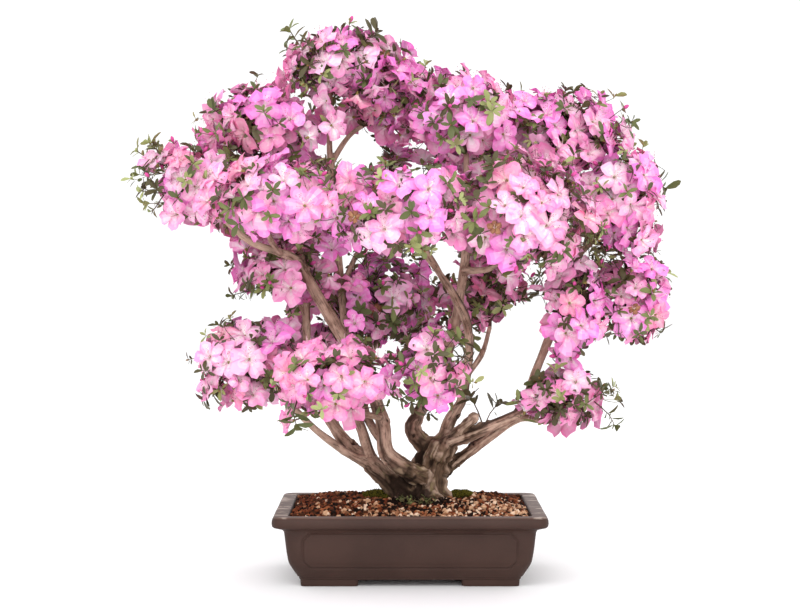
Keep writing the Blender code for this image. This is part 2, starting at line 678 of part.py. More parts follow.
class Grower:
    """Grows one mass: twigs from one stem by a seeded rule, and what stands on them."""

    def __init__(self, mass, limbs, shapes, seed):
        self.mass = mass
        self.limbs = limbs
        self.shapes = shapes
        self.chance = random.Random(seed)
        self.bough = next(limb for limb in limbs if limb.name == mass.bough)
        self.middle = Vector(mass.middle)
        self.pieces = []
        self.forks = []  # (point, length of the way to it, radius of a twig from it)
        self.taken = []

    def clear(self, points, thickness=0.0, apart_from=None):
        """Whether points that far from a surface lie clear of every limb."""
        limbs = (limb for limb in self.limbs if limb is not apart_from)
        return all(limb.nearest(points).min() > thickness + CLEAR_OF_LIMB for limb in limbs)

    def own(self, points):
        """Whether points lie in the mass's own space."""
        depth = depth_outside(points, self.mass)
        if depth.max() > PROUD:
            return False
        others = (other for other in MASSES if other is not self.mass)
        return all((depth + 2 * CLEAR_OF_MASS < depth_outside(points, other)).all() for other in others)

    def add(self, kind, place):
        """Notes one shape at its placement."""
        self.pieces.append((kind, place))

    def grow_stem(self):
        """The stem: it takes over from the bough's tip and runs towards the middle."""
        heading = self.bough.heading
        start = self.bough.tip + heading * GAP
        radius = float(self.bough.radii[-1])
        bend = start + heading * 0.012
        self.add("stem", rod_between(start, bend, radius * 0.98))
        sideways = [Vector((0, 0, 0))] + [way * 0.02 for way in self.directions()]
        for off in sideways:
            hub = bend + (self.middle + off - bend) * 0.6
            line = np.array([bend.lerp(hub, share) for share in (0.0, 0.25, 0.5, 0.75, 1.0)])
            if self.clear(line, radius, self.bough):
                break
        self.add("stem", rod_between(bend - heading * 0.003, hub, radius * 0.85))
        self.forks = [(bend.lerp(hub, share), 0.0, TWIG_RADIUS) for share in (0.25, 0.5, 0.75, 0.97)]

    def grow_twig(self, tip):
        """A twig to a point from the fork that gives the shortest way, or None if it is blocked."""
        choices = sorted(self.forks, key=lambda fork: (tip - fork[0]).length + 0.5 * fork[1])
        for point, way, radius in choices[:4]:
            run = tip - point
            if run.length < 0.012:
                continue
            line = np.array([point + run * share for share in np.linspace(0.0, 1.0, 9)])
            if not self.clear(line, radius) or not self.own(line[3:]):
                continue
            if way == 0.0:
                self.forks.append((point + run * 0.55, run.length * 0.55, TWIG_RADIUS * SIDE_TWIG))
            return rod_between(point, tip, radius)
        return None

    def directions(self):
        """Directions spread evenly over the sphere, from a seeded start."""
        start = self.chance.uniform(0.0, math.tau)
        for number in range(SITES):
            up = 1.0 - 2.0 * (number + 0.5) / SITES
            flat = math.sqrt(1.0 - up * up)
            turn = start + number * GOLDEN_TURN
            yield Vector((flat * math.cos(turn), flat * math.sin(turn), up))

    def shell_point(self, direction, depth):
        """The point of the mass's shell in a direction, at a share of its reach."""
        reach = Vector(self.mass.reach)
        return self.middle + Vector([d * r for d, r in zip(direction, reach)]) * depth

    def set_at(self, kind, middle, face, spacing, into):
        """Tries to set a bloom or a whorl there on a twig of its own."""
        if any((middle - other).length < spacing for other in self.taken):
            return False
        seat = middle - face * (BLOOM_DEPTH / 2 if kind == "bloom" else 0.0)
        place = aim(seat, face, self.chance.uniform(0, math.tau))
        points = placed(self.shapes[kind + "_points"], place)
        if not self.own(points) or not self.clear(points):
            return False
        twig = self.grow_twig(place @ into)
        if twig is None:
            return False
        self.taken.append(middle)
        self.add("twig", twig)
        self.add(kind, place)
        return True

    def bloom_at(self, direction):
        """Tries a bloom that faces out and up, nearer the middle where the rim is taken."""
        face = (direction + Vector((0, 0, 0.45)) + self.outward() * 0.35).normalized()
        return any(
            self.set_at("bloom", self.shell_point(direction, depth), face, BLOOM_SPACING, BLOOM_SEAT)
            for depth in (0.92, 0.84, 0.76, 0.68, 0.58, 0.46)
        )

    def whorl_at(self, direction):
        """Tries a whorl of leaves that faces out and a little up."""
        face = (direction + Vector((0, 0, 0.3))).normalized()
        return any(
            self.set_at("whorl", self.shell_point(direction, depth), face, WHORL_SPACING, WHORL_SEAT)
            for depth in (0.84, 0.7, 0.54)
        )

    def outward(self):
        """The level direction from the crown's middle line to this mass."""
        flat = Vector((self.middle.x, self.middle.y, 0.0))
        return flat.normalized() if flat.length > 0.03 else Vector((0, 0, 1))

    def grow(self):
        """The whole mass: blooms first where they show, then whorls of leaves among them."""
        self.grow_stem()
        showing = Vector((0, 0, 0.5)) + self.outward() * 0.5
        ways = sorted(
            self.directions(), key=lambda way: -way.dot(showing) + self.chance.uniform(0, 0.9)
        )
        blooms = whorls = 0
        for way in ways:
            if blooms < self.mass.blooms and self.bloom_at(way):
                blooms += 1
        for way in reversed(ways):
            if whorls < self.mass.whorls and self.whorl_at(way):
                whorls += 1
        return self.pieces


def make_mass(mass, limbs, shapes, seed, parts, helpers, material):
    """One mass as one solid: its pieces joined by a Boolean union on a collection."""
    pieces = Grower(mass, limbs, shapes, seed).grow()
    sprigs = bpy.data.collections.new("sprigs")
    helpers.children.link(sprigs)
    for kind, place in pieces[1:]:
        sprig = link_mesh(kind, shapes[kind], sprigs)
        sprig.matrix_world = place
    kind, place = pieces[0]
    obj = link_mesh(mass.name, shapes[kind].copy(), parts, material)
    obj.matrix_world = place
    join = obj.modifiers.new("sprigs", "BOOLEAN")
    join.operation = "UNION"
    join.solver = "MANIFOLD"
    join.operand_type = "COLLECTION"
    join.collection = sprigs
    apply_modifiers(obj)
    for sprig in list(sprigs.objects):
        bpy.data.objects.remove(sprig)
    bpy.data.collections.remove(sprigs)
    obj.data.transform(place)
    obj.matrix_world = Matrix.Identity(4)
    keep_largest_shell(obj.data)
    move_origin(obj, place.translation)
    return obj


def make_shapes():
    """The meshes that every mass repeats, and the points that its growth tests."""
    shapes = {
        "bloom": mesh_of(bloom_shape, "bloom"),
        "whorl": mesh_of(whorl_shape, "whorl"),
        "twig": mesh_of(rod_shape(3, TWIG_TAPER), "twig"),
        "stem": mesh_of(rod_shape(5, STEM_TAPER), "stem"),
    }
    shapes["bloom_points"] = points_of(shapes["bloom"])
    shapes["whorl_points"] = points_of(shapes["whorl"])
    return shapes


# ---------------------------------------------------------------- assembly
def main():
    """Builds the plant and its pot."""
    clear_scene()
    parts = new_collection("azalea_bonsai")
    helpers = new_collection("helpers")
    cutters = new_collection("cutters")
    bark = new_material("bark", BARK, 0.85)
    foliage = new_material("foliage", PETAL_PINK, 0.6)

    pot = make_pot(parts, helpers, new_material("pot_clay", POT_CLAY, 0.65))
    soil = make_soil(parts, new_material("soil", SOIL_RED, 0.95))
    limbs, made_cutters = make_limbs(parts, cutters, bark)
    moss = new_material("moss", MOSS_GREEN, 0.95)
    feet = [made_cutters[TRUNK.name], made_cutters[LEANING_STEM.name]]
    make_moss("moss_left", (-0.030, 0.010), (0.022, 0.020, 0.010), feet, parts, moss)
    make_moss("moss_right", (0.082, 0.008), (0.018, 0.018, 0.010), feet, parts, moss)

    shapes = make_shapes()
    for number, mass in enumerate(MASSES):
        make_mass(mass, limbs, shapes, 100 + number, parts, helpers, foliage)

    base = bpy.data.objects.new("plant_origin", None)
    parts.objects.link(base)
    for obj in parts.objects:
        if obj is not base:
            obj.parent = base


main()
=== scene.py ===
"""Azalea bonsai in full bloom, dressed: bark, twigs, leaves, blossom, soil, moss and pot.

Metres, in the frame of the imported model. The limbs' routes and the masses' ellipsoids are the
ones that the solids were made from. Each mass grows on from its bough's tip by the solids' own
seeded rule: a stem, twigs from the fork that gives the shortest way, and what stands on them.
Here the rule is carried on to finer twigs, with leaves and blooms at their real size.
"""

import logging
import math
from collections.abc import Callable, Iterable, Sequence
from dataclasses import dataclass, field
from enum import Enum, IntEnum

import bpy
import numpy as np
from mathutils import Matrix


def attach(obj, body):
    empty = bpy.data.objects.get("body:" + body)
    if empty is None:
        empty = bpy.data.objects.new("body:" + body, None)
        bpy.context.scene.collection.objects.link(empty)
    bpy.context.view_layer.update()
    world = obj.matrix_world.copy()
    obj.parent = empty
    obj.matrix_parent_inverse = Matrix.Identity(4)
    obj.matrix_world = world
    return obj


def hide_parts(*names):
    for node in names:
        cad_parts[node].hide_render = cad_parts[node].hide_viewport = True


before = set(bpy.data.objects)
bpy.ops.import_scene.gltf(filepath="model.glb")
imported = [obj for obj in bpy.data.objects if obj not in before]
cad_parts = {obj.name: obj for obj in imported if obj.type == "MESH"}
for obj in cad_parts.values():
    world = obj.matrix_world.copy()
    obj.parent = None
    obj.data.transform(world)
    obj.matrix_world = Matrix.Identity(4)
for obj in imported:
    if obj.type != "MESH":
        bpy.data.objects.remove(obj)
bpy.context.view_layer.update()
LOG = logging.getLogger("azalea_bonsai")

Array = np.ndarray
Point = tuple[float, float, float]
Colour = Point
Numbers = tuple[float, ...]
Chance = np.random.Generator
Materials = Sequence[bpy.types.Material]

BODY = "root"
GOLDEN_TURN = math.pi * (3.0 - math.sqrt(5.0))
UP = np.array((0.0, 0.0, 1.0))

EYE_BACK = 2.635  # the viewer's eye: how far in front of the trunk, and how high
EYE_HEIGHT = 0.436
LEVEL_TILT = math.radians(1.594)
LENS_MM = 88.155
SENSOR_MM = 36.0

TRUNK_FOOT = 0.1034
POT_MIDDLE = (0.013, 0.0)
POT_LENGTH = 0.357
POT_DEPTH = 0.272


class Seed(IntEnum):
    """What each part's random draws start from; masses and shoots count on from theirs."""

    TWIGS = 7
    BUDS = 8
    GRAINS = 23
    LEAVES = 31
    BLOSSOM = 57
    SPROUTS = 77
    MASSES = 100
    SHOOTS = 900


def metres(millimetres: Sequence) -> tuple:
    """Numbers, or rows of them at any depth, from millimetres to metres."""
    return tuple(
        round(x / 1000, 6) if isinstance(x, (int, float)) else metres(x) for x in millimetres
    )


# ---- the plant's limbs and masses
@dataclass(frozen=True)
class Limb:
    """One tapering limb: its route starts inside what carries it and ends at its tip."""

    name: str
    root_radius: float
    tip_radius: float
    route: tuple[Point, ...]


@dataclass(frozen=True)
class Mass:
    """One mass of foliage: it grows from its bough's tip and fills an ellipsoid."""

    name: str
    bough: str
    middle: Point
    reach: Point
    blossom: float = 1.0  # how much of it is in bloom, from 0 to 1


LIMBS = tuple(Limb(name, *metres(sizes)) for name, *sizes in (
    ("trunk", 24.5, 19.5, ((43, 2, 90), (42, 2, 125), (48, 0, 155), (58, -4, 178))),
    ("leaning_stem", 15, 12.5, ((26, 4, 88), (8, 2, 114), (-14, 0, 130), (-38, 0, 149))),
    ("bough_knee", 11.5, 7.2, ((34, -8, 132), (6, -26, 149), (-17, -29, 170), (-20, -22, 196),
     (-26, -14, 222), (-56, -10, 285), (-86, -4, 332), (-136, 0, 420))),
    ("bough_left_reach", 6.6, 3.4, ((-127, 0, 408), (-146, 0, 428), (-198, -8, 447),
     (-247, -10, 488))),
    ("bough_centre_left", 10.5, 3.6, ((47, 4, 164), (19, 6, 192), (30, 20, 222), (61, 30, 290),
     (80, 4, 370), (90, -22, 470), (88, -30, 568))),
    ("bough_centre", 8.5, 4.2, ((58, -4, 178), (69, 0, 208), (84, 0, 240), (93, -4, 322),
     (72, -28, 376), (46, -60, 415), (16, -98, 460))),
    ("bough_right_low", 9.8, 6.4, ((54, -6, 172), (82, -18, 187), (140, -20, 209),
     (164, -8, 222))),
    ("bough_right_high", 6.3, 3.8, ((160, -10, 219), (172, -3, 246), (193, 0, 300), (222, 2, 372),
     (240, 4, 435), (238, 14, 545))),
    ("bough_low_right", 8.6, 4.2, ((48, 4, 130), (84, 12, 158), (134, 20, 193), (163, 14, 210),
     (182, 0, 208.5), (198, -8, 206.5))),
    ("dead_stub", 7.2, 6, ((66, -14, 181), (86, -23, 200), (101, -28, 215))),
    ("bough_far_left", 6.2, 3.2, ((-36, -2, 146), (-74, -12, 166), (-126, -10, 208),
     (-166, -5, 253))),
    ("bough_left_outer", 8.8, 3.8, ((-34, 2, 147), (-68, 12, 171), (-102, 30, 217),
     (-124, 46, 282), (-130, 50, 395), (-145, 46, 462), (-178, 36, 553))),
    ("bough_apex", 7.2, 3.4, ((-36, 0, 147), (-50, -2, 190), (-60, 12, 225), (-75, 50, 341),
     (-88, 48, 470), (-96, 36, 575), (-94, 14, 657))),
    ("bough_back_low", 5.8, 3.6, ((-16, -26, 171), (-36, 2, 197), (-47, 22, 228), (-40, 64, 288),
     (-34, 80, 306))),
    ("bough_upper_mid", 3.6, 2.8, ((-94, 40, 556), (-70, 48, 592), (-44, 50, 612))),
    ("bough_left_inner", 3.6, 2.8, ((-128, 49, 345), (-137, 46, 361), (-146, 40, 374))),
    ("bough_left_front", 4.4, 3.2, ((-160, -2, 433), (-170, -36, 448), (-175, -76, 471))),
    ("bough_right_front", 4.6, 3.4, ((86, -10, 410), (116, -36, 412), (139, -66, 428))),
    ("bough_right_reach", 4.4, 2.6, ((205, 0, 328), (245, -4, 313), (284, 0, 334), (300, 0, 333))),
    ("bough_right_inner", 3.8, 3, ((208, 0, 338), (220, -12, 342), (230, -22, 344))),
    ("bough_right_shoulder", 4, 3, ((239, 4, 430), (262, 0, 452), (281, 0, 470))),
    ("bough_mid_right", 4.2, 2.8, ((87, 0, 264), (110, 20, 294), (124, 64, 331))),
    ("bough_low_front_left", 5, 3.4, ((-24, -18, 214), (-46, -50, 220), (-72, -90, 237))),
    ("bough_low_front", 4.4, 3.2, ((30, 20, 222), (36, -26, 232), (38, -82, 252))),
    ("bough_back_left", 4.4, 3.2, ((-132, 49, 415), (-142, 76, 438), (-152, 106, 452))),
    ("bough_back_mid", 4.4, 3.2, ((-79, 50, 385), (-62, 88, 428), (-40, 126, 464))),
    ("bough_back_right", 4.6, 3.2, ((226, 2, 388), (208, 50, 420), (182, 102, 444))),
    ("bough_back_top", 4, 3, ((90, -24, 484), (100, 14, 528), (112, 46, 553))),
    ("bough_back_low_left", 5, 3.2, ((-84, 20, 192), (-96, 60, 224), (-114, 94, 262))),
    ("bough_back_low_right", 4.4, 3, ((64, 28, 298), (56, 64, 262), (46, 104, 262))),
))

MASSES = tuple(Mass(name, bough, *metres(sizes), *bloom) for name, bough, sizes, *bloom in (
    ("foliage_apex", "bough_apex", ((-82, 0, 690), (80, 66, 54)), 0.9),
    ("foliage_upper_mid", "bough_upper_mid", ((-10, 56, 656), (72, 66, 56))),
    ("foliage_upper_centre", "bough_centre_left", ((86, -34, 620), (76, 68, 66))),
    ("foliage_upper_right", "bough_right_high", ((228, 16, 600), (86, 78, 64))),
    ("foliage_right_shoulder", "bough_right_shoulder", ((298, -2, 514), (64, 74, 74))),
    ("foliage_left_shoulder", "bough_left_outer", ((-198, 32, 610), (86, 78, 60))),
    ("foliage_left_reach", "bough_left_reach", ((-290, -12, 528), (74, 72, 54)), 0.7),
    ("foliage_left_front", "bough_left_front", ((-174, -130, 506), (96, 78, 62))),
    ("foliage_centre_front", "bough_centre", ((-10, -154, 492), (108, 80, 66))),
    ("foliage_right_front", "bough_right_front", ((160, -134, 486), (102, 84, 84))),
    ("foliage_right_reach", "bough_right_reach", ((314, 0, 380), (56, 66, 70))),
    ("foliage_left_inner", "bough_left_inner", ((-166, 30, 410), (66, 64, 56))),
    ("foliage_back_low", "bough_back_low", ((-26, 88, 372), (76, 70, 74)), 0.8),
    ("foliage_mid_right", "bough_mid_right", ((118, 100, 376), (72, 70, 60)), 0.8),
    ("foliage_right_inner", "bough_right_inner", ((240, -42, 368), (60, 64, 86))),
    ("foliage_low_left", "bough_far_left", ((-212, -4, 288), (74, 70, 72))),
    ("foliage_low_front_left", "bough_low_front_left", ((-92, -144, 276), (90, 74, 56))),
    ("foliage_low_front", "bough_low_front", ((44, -130, 290), (52, 58, 58)), 0.6),
    ("foliage_low_right", "bough_low_right", ((216, -24, 244), (80, 66, 46)), 0.8),
    ("foliage_back_left", "bough_back_left", ((-180, 138, 500), (92, 82, 80))),
    ("foliage_back_mid", "bough_back_mid", ((-26, 146, 526), (92, 80, 84))),
    ("foliage_back_right", "bough_back_right", ((166, 138, 500), (92, 82, 84))),
    ("foliage_back_top", "bough_back_top", ((118, 88, 606), (72, 68, 62))),
    ("foliage_back_low_left", "bough_back_low_left", ((-138, 136, 312), (70, 66, 56))),
    ("foliage_back_low_right", "bough_back_low_right", ((42, 150, 292), (60, 60, 54))),
))


@dataclass(frozen=True)
class Window:
    """A gap in the crown, as an ellipse where the viewer sees sky between the boughs.

    Its middle and half sizes are metres in the upright plane through the trunk.
    """

    across: float
    height: float
    half_width: float
    half_height: float


WINDOWS = tuple(Window(*row) for row in metres((
    (-52, 568, 26, 19), (24, 540, 9, 11), (66, 420, 14, 18), (-188, 362, 34, 16),
    (140, 286, 40, 46), (160, 330, 26, 32), (290, 290, 44, 28), (190, 300, 10, 30),
    (-6, 313, 8, 10), (74, 298, 6, 14), (-113, 344, 6, 9), (-13, 408, 7, 8), (-55, 278, 8, 4),
)))

# Where leaves show and no blooms stand, in the same plane.
GREEN_PATCHES = tuple(Window(*row) for row in metres((
    (-350, 512, 42, 52), (-124, 664, 24, 26), (-100, 545, 26, 20), (10, 249, 30, 12),
    (200, 545, 20, 14), (-150, 222, 60, 10), (262, 452, 14, 20), (20, 440, 24, 14),
)))


# ---- arrays
def unit(vectors: Array) -> Array:
    """Vectors of length 1 along the given ones, on the last axis."""
    return vectors / np.maximum(np.linalg.norm(vectors, axis=-1, keepdims=True), 1e-12)


def lattice_noise(points: Array, seed: float = 0.0) -> Array:
    """Smooth noise from -1 to 1, one value a point.

    Each corner of the unit lattice has a number of its own, the fractional part of
    sin(k · corner) · 43758; a point blends its eight corners' by 3t² - 2t³ on each axis.

    Args:
        points: positions, in units of the noise's grain.
        seed: another pattern for another number.

    Returns:
        The noise at each point.
    """
    cell = np.floor(points)
    share = points - cell
    share = share * share * (3.0 - 2.0 * share)
    total = np.zeros(points.shape[:-1])
    for corner in np.ndindex(2, 2, 2):
        turn = (cell + corner) @ np.array((12.9898, 78.233, 37.719)) + 1.618 * seed
        value = np.modf(np.sin(turn) * 43758.5453)[0]
        total += value * np.prod(np.where(corner, share, 1.0 - share), axis=-1)
    return total


def smooth_route(points: Sequence[Sequence[float]], steps: int) -> Array:
    """Points on a Catmull-Rom curve: ½(2b + (c-a)t + (2a-5b+4c-d)t² + (3b-a-3c+d)t³).

    Args:
        points: what the curve passes through.
        steps: stretches between two of them.

    Returns:
        The curve's points, one a row.
    """
    given = np.array(points, float)
    ends = np.vstack([2 * given[0] - given[1], given, 2 * given[-1] - given[-2]])
    a, b, c, d = (ends[i : i + len(given) - 1, None] for i in range(4))
    t = (np.arange(steps) / steps)[None, :, None]
    curve = 0.5 * (2 * b + (c - a) * t + (2 * a - 5 * b + 4 * c - d) * t**2
                   + (3 * b - a - 3 * c + d) * t**3)
    return np.vstack([curve.reshape(-1, 3), given[-1]])


def lengths_along(line: Array) -> Array:
    """How far along a line each of its points lies, in metres."""
    return np.concatenate([[0.0], np.cumsum(np.linalg.norm(np.diff(line, axis=0), axis=1))])


def frames_on(heading: Array, hint: Array, spin: Array | float = 0.0) -> Array:
    """Right-handed frames with their third axis along a heading.

    The first axis is hint × heading, turned about the heading by the spin.

    Args:
        heading: directions, (..., 3).
        hint: directions that aren't along the heading.
        spin: angles in radians.

    Returns:
        The axes as rows, (..., 3, 3).
    """
    heading = unit(heading)
    first = unit(np.cross(hint, heading))
    second = np.cross(heading, first)
    cos, sin = np.cos(spin)[..., None], np.sin(spin)[..., None]
    return np.stack([first * cos + second * sin, second * cos - first * sin, heading], axis=-2)


def spread_ways(count: int, start: float) -> Array:
    """Directions spread evenly over the sphere by the golden angle, from a starting turn."""
    number = np.arange(count)
    up = 1.0 - 2.0 * (number + 0.5) / count
    flat = np.sqrt(1.0 - up * up)
    turn = start + number * GOLDEN_TURN
    return np.stack([flat * np.cos(turn), flat * np.sin(turn), up], axis=1)


def columns_of(rows: Sequence[tuple], *wanted: int) -> Iterable[Array]:
    """The wanted fields of equal rows, each as an array."""
    return (np.array([row[number] for row in rows]) for number in wanted)


def any_ways(chance: Chance, count: int) -> Array:
    """Random directions."""
    return unit(chance.normal(size=(count, 3)))


# ---- meshes
def grid_faces(rows: int, columns: int, closed: bool = False) -> Array:
    """Quads of a grid of points that are numbered row by row.

    A face runs from its point to the next column, then up a row, so it faces along
    columns × rows.

    Args:
        rows: rows of points.
        columns: points in a row.
        closed: whether the last column joins the first.

    Returns:
        Four corners a row.
    """
    down = np.arange(rows - 1)[:, None] * columns
    left = np.arange(columns if closed else columns - 1)[None]
    right = (left + 1) % columns
    corners = (down + left, down + right, down + columns + right, down + columns + left)
    return np.stack(np.broadcast_arrays(*corners), axis=-1).reshape(-1, 4)


def fan_faces(pole: int, first: int, count: int, upwards: bool) -> Array:
    """Triangles that close a ring of points to a pole; a quad's fourth corner is -1.

    Args:
        pole: the pole's number.
        first: the number of the ring's first point.
        count: points in the ring.
        upwards: whether the pole lies beyond the ring along the rows.

    Returns:
        Four corners a row, the last one -1.
    """
    here = first + np.arange(count)
    after = first + (np.arange(count) + 1) % count
    pair = (here, after) if upwards else (after, here)
    return np.stack([*pair, np.full(count, pole), np.full(count, -1)], axis=1)


def closed_faces(rings: int, around: int) -> Array:
    """Faces of rings of points and of the two poles that come after them: foot, then tip."""
    last = rings * around
    return np.concatenate([
        grid_faces(rings, around, closed=True),
        fan_faces(last, 0, around, upwards=False),
        fan_faces(last + 1, last - around, around, upwards=True),
    ])


@dataclass
class Shell:
    """A surface as arrays: points, faces of three or four corners, and what each face wears."""

    points: Array
    faces: Array
    zones: Array | None = None
    traits: dict[str, Array] = field(default_factory=dict)

    def __post_init__(self) -> None:
        """Gives every face the first finish where none is named."""
        if self.zones is None:
            self.zones = np.zeros(len(self.faces), int)

    @staticmethod
    def joined(shells: Iterable["Shell"]) -> "Shell":
        """Several shells as one."""
        parts = list(shells)
        starts = np.cumsum([0] + [len(part.points) for part in parts[:-1]])
        faces = [
            np.where(part.faces < 0, -1, part.faces + start) for part, start in zip(parts, starts)
        ]
        traits = {
            name: np.concatenate([part.traits[name] for part in parts]) for name in parts[0].traits
        }
        return Shell(
            np.concatenate([part.points for part in parts]), np.concatenate(faces),
            np.concatenate([part.zones for part in parts]), traits,
        )

    @staticmethod
    def repeated(points: Array, faces: Array, zones: Array | None = None) -> "Shell":
        """Copies of one shape, each with points of its own.

        Args:
            points: (copies, points, 3).
            faces: the faces of one copy.
            zones: (copies, faces) or the finishes of one copy's faces.

        Returns:
            The copies as one shell.
        """
        count, stride = points.shape[:2]
        shift = np.arange(count)[:, None, None] * stride
        every = np.where(faces[None] < 0, -1, faces[None] + shift).reshape(-1, 4)
        worn = np.zeros(len(faces), int) if zones is None else zones
        worn = np.broadcast_to(worn, (count, len(faces))).ravel()
        return Shell(points.reshape(-1, 3), every, worn)

    def part(self, chosen: Array) -> "Shell":
        """The shell of the chosen faces alone.

        Args:
            chosen: a mask over the faces.

        Returns:
            A shell with only those faces and the points they use.
        """
        faces = self.faces[chosen]
        used = np.unique(faces[faces >= 0])
        renumber = np.full(len(self.points) + 1, -1)
        renumber[used] = np.arange(len(used))
        traits = {name: values[used] for name, values in self.traits.items()}
        return Shell(self.points[used], renumber[faces], self.zones[chosen], traits)

    def triangles(self) -> int:
        """How many triangles the shell has."""
        return int((self.faces >= 0).sum() - 2 * len(self.faces))

    def mesh(
        self, name: str, materials: Materials, smooth: bool,
    ) -> bpy.types.Mesh:
        """The shell as a Blender mesh.

        Args:
            name: the mesh's name.
            materials: what the zones are numbered by.
            smooth: whether its faces are shaded smooth.

        Returns:
            The mesh.
        """
        mesh = bpy.data.meshes.new(name)
        mesh.vertices.add(len(self.points))
        mesh.vertices.foreach_set("co", self.points.astype(np.float32).ravel())
        real = self.faces >= 0
        totals = real.sum(1)
        mesh.loops.add(int(totals.sum()))
        mesh.loops.foreach_set("vertex_index", self.faces[real].astype(np.int32))
        mesh.polygons.add(len(self.faces))
        mesh.polygons.foreach_set("loop_start", np.cumsum(totals) - totals)
        mesh.polygons.foreach_set("material_index", self.zones.astype(np.int32))
        mesh.polygons.foreach_set("use_smooth", np.full(len(self.faces), smooth))
        for trait, values in self.traits.items():
            kind, key = ("FLOAT_VECTOR", "vector") if values.ndim == 2 else ("FLOAT", "value")
            spread = mesh.attributes.new(trait, kind, "POINT")
            spread.data.foreach_set(key, values.astype(np.float32).ravel())
        for material in materials:
            mesh.materials.append(material)
        mesh.update(calc_edges=True)
        mesh.validate()
        return mesh


def linked(name: str, data: bpy.types.ID) -> bpy.types.Object:
    """A new object in the scene, at the origin."""
    thing = bpy.data.objects.new(name, data)
    bpy.context.scene.collection.objects.link(thing)
    return thing


def set_down(
    name: str, shell: Shell, materials: Materials,
    nodes: Sequence[str], smooth: bool = True,
) -> bpy.types.Object:
    """Puts a shell into the scene as a piece of the plant.

    Args:
        name: the piece's name.
        shell: its surface.
        materials: its finishes, in the order of the shell's zones.
        nodes: the solids that it stands for.
        smooth: whether it is shaded smooth.

    Returns:
        The piece.
    """
    piece = linked(name, shell.mesh(name, materials, smooth))
    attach(piece, BODY)
    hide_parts(*nodes)
    LOG.info("%s: %d triangles, for %d solids", name, shell.triangles(), len(nodes))
    return piece


def tubes(routes: Array, radii: Array, sides: int, hints: Array) -> Shell:
    """Many round tapering tubes, each closed at both ends.

    A point of a ring is c(u) + r(u)·(cos v · side + sin v · up), where side is hint × heading.

    Args:
        routes: (tubes, rings, 3), the centre lines.
        radii: (tubes, rings).
        sides: points in a ring.
        hints: (tubes, 3), a direction that no stretch of the tube runs along.

    Returns:
        The tubes as one shell.
    """
    heading = unit(np.gradient(routes, axis=1))
    axes = frames_on(heading, np.broadcast_to(hints[:, None], heading.shape))
    angle = np.arange(sides) / sides * math.tau
    ring = np.stack([np.cos(angle), np.sin(angle)], axis=1)
    around = np.einsum("kj,nrjc->nrkc", ring, axes[:, :, :2])
    skin = routes[:, :, None] + radii[:, :, None, None] * around
    count, rings = routes.shape[:2]
    ends = np.stack([
        routes[:, 0] - heading[:, 0] * radii[:, :1] * 0.3,
        routes[:, -1] + heading[:, -1] * radii[:, -1:] * 0.6,
    ], axis=1)
    points = np.concatenate([skin.reshape(count, -1, 3), ends], axis=1)
    return Shell.repeated(points, closed_faces(rings, sides))


# ---- finishes
def operator(operation: str, reflected: bool = False) -> Callable[["Line", "Line | float"], "Line"]:
    """An operator's method, which adds a Math node; a reflected one has its sides swapped."""

    def method(line: "Line", other: "Line | float") -> "Line":
        """The operator's value."""
        first, second = (other, line) if reflected else (line, other)
        settings = {"operation": operation}
        return line.recipe.out("ShaderNodeMath", 0, settings, {0: first, 1: second})

    return method


@dataclass(frozen=True)
class Line:
    """A node's output that takes part in arithmetic, which adds Math nodes."""

    recipe: "Recipe"
    socket: bpy.types.NodeSocket

    __add__, __radd__ = operator("ADD"), operator("ADD", reflected=True)
    __sub__, __rsub__ = operator("SUBTRACT"), operator("SUBTRACT", reflected=True)
    __mul__, __rmul__ = operator("MULTIPLY"), operator("MULTIPLY", reflected=True)

    def between(self, low: float, high: float) -> "Line":
        """0 below one value, 1 above another and a smooth rise between."""
        settings = {"interpolation_type": "SMOOTHSTEP", "clamp": True}
        return self.recipe.out("ShaderNodeMapRange", 0, settings, {"Value": self, 1: low, 2: high})


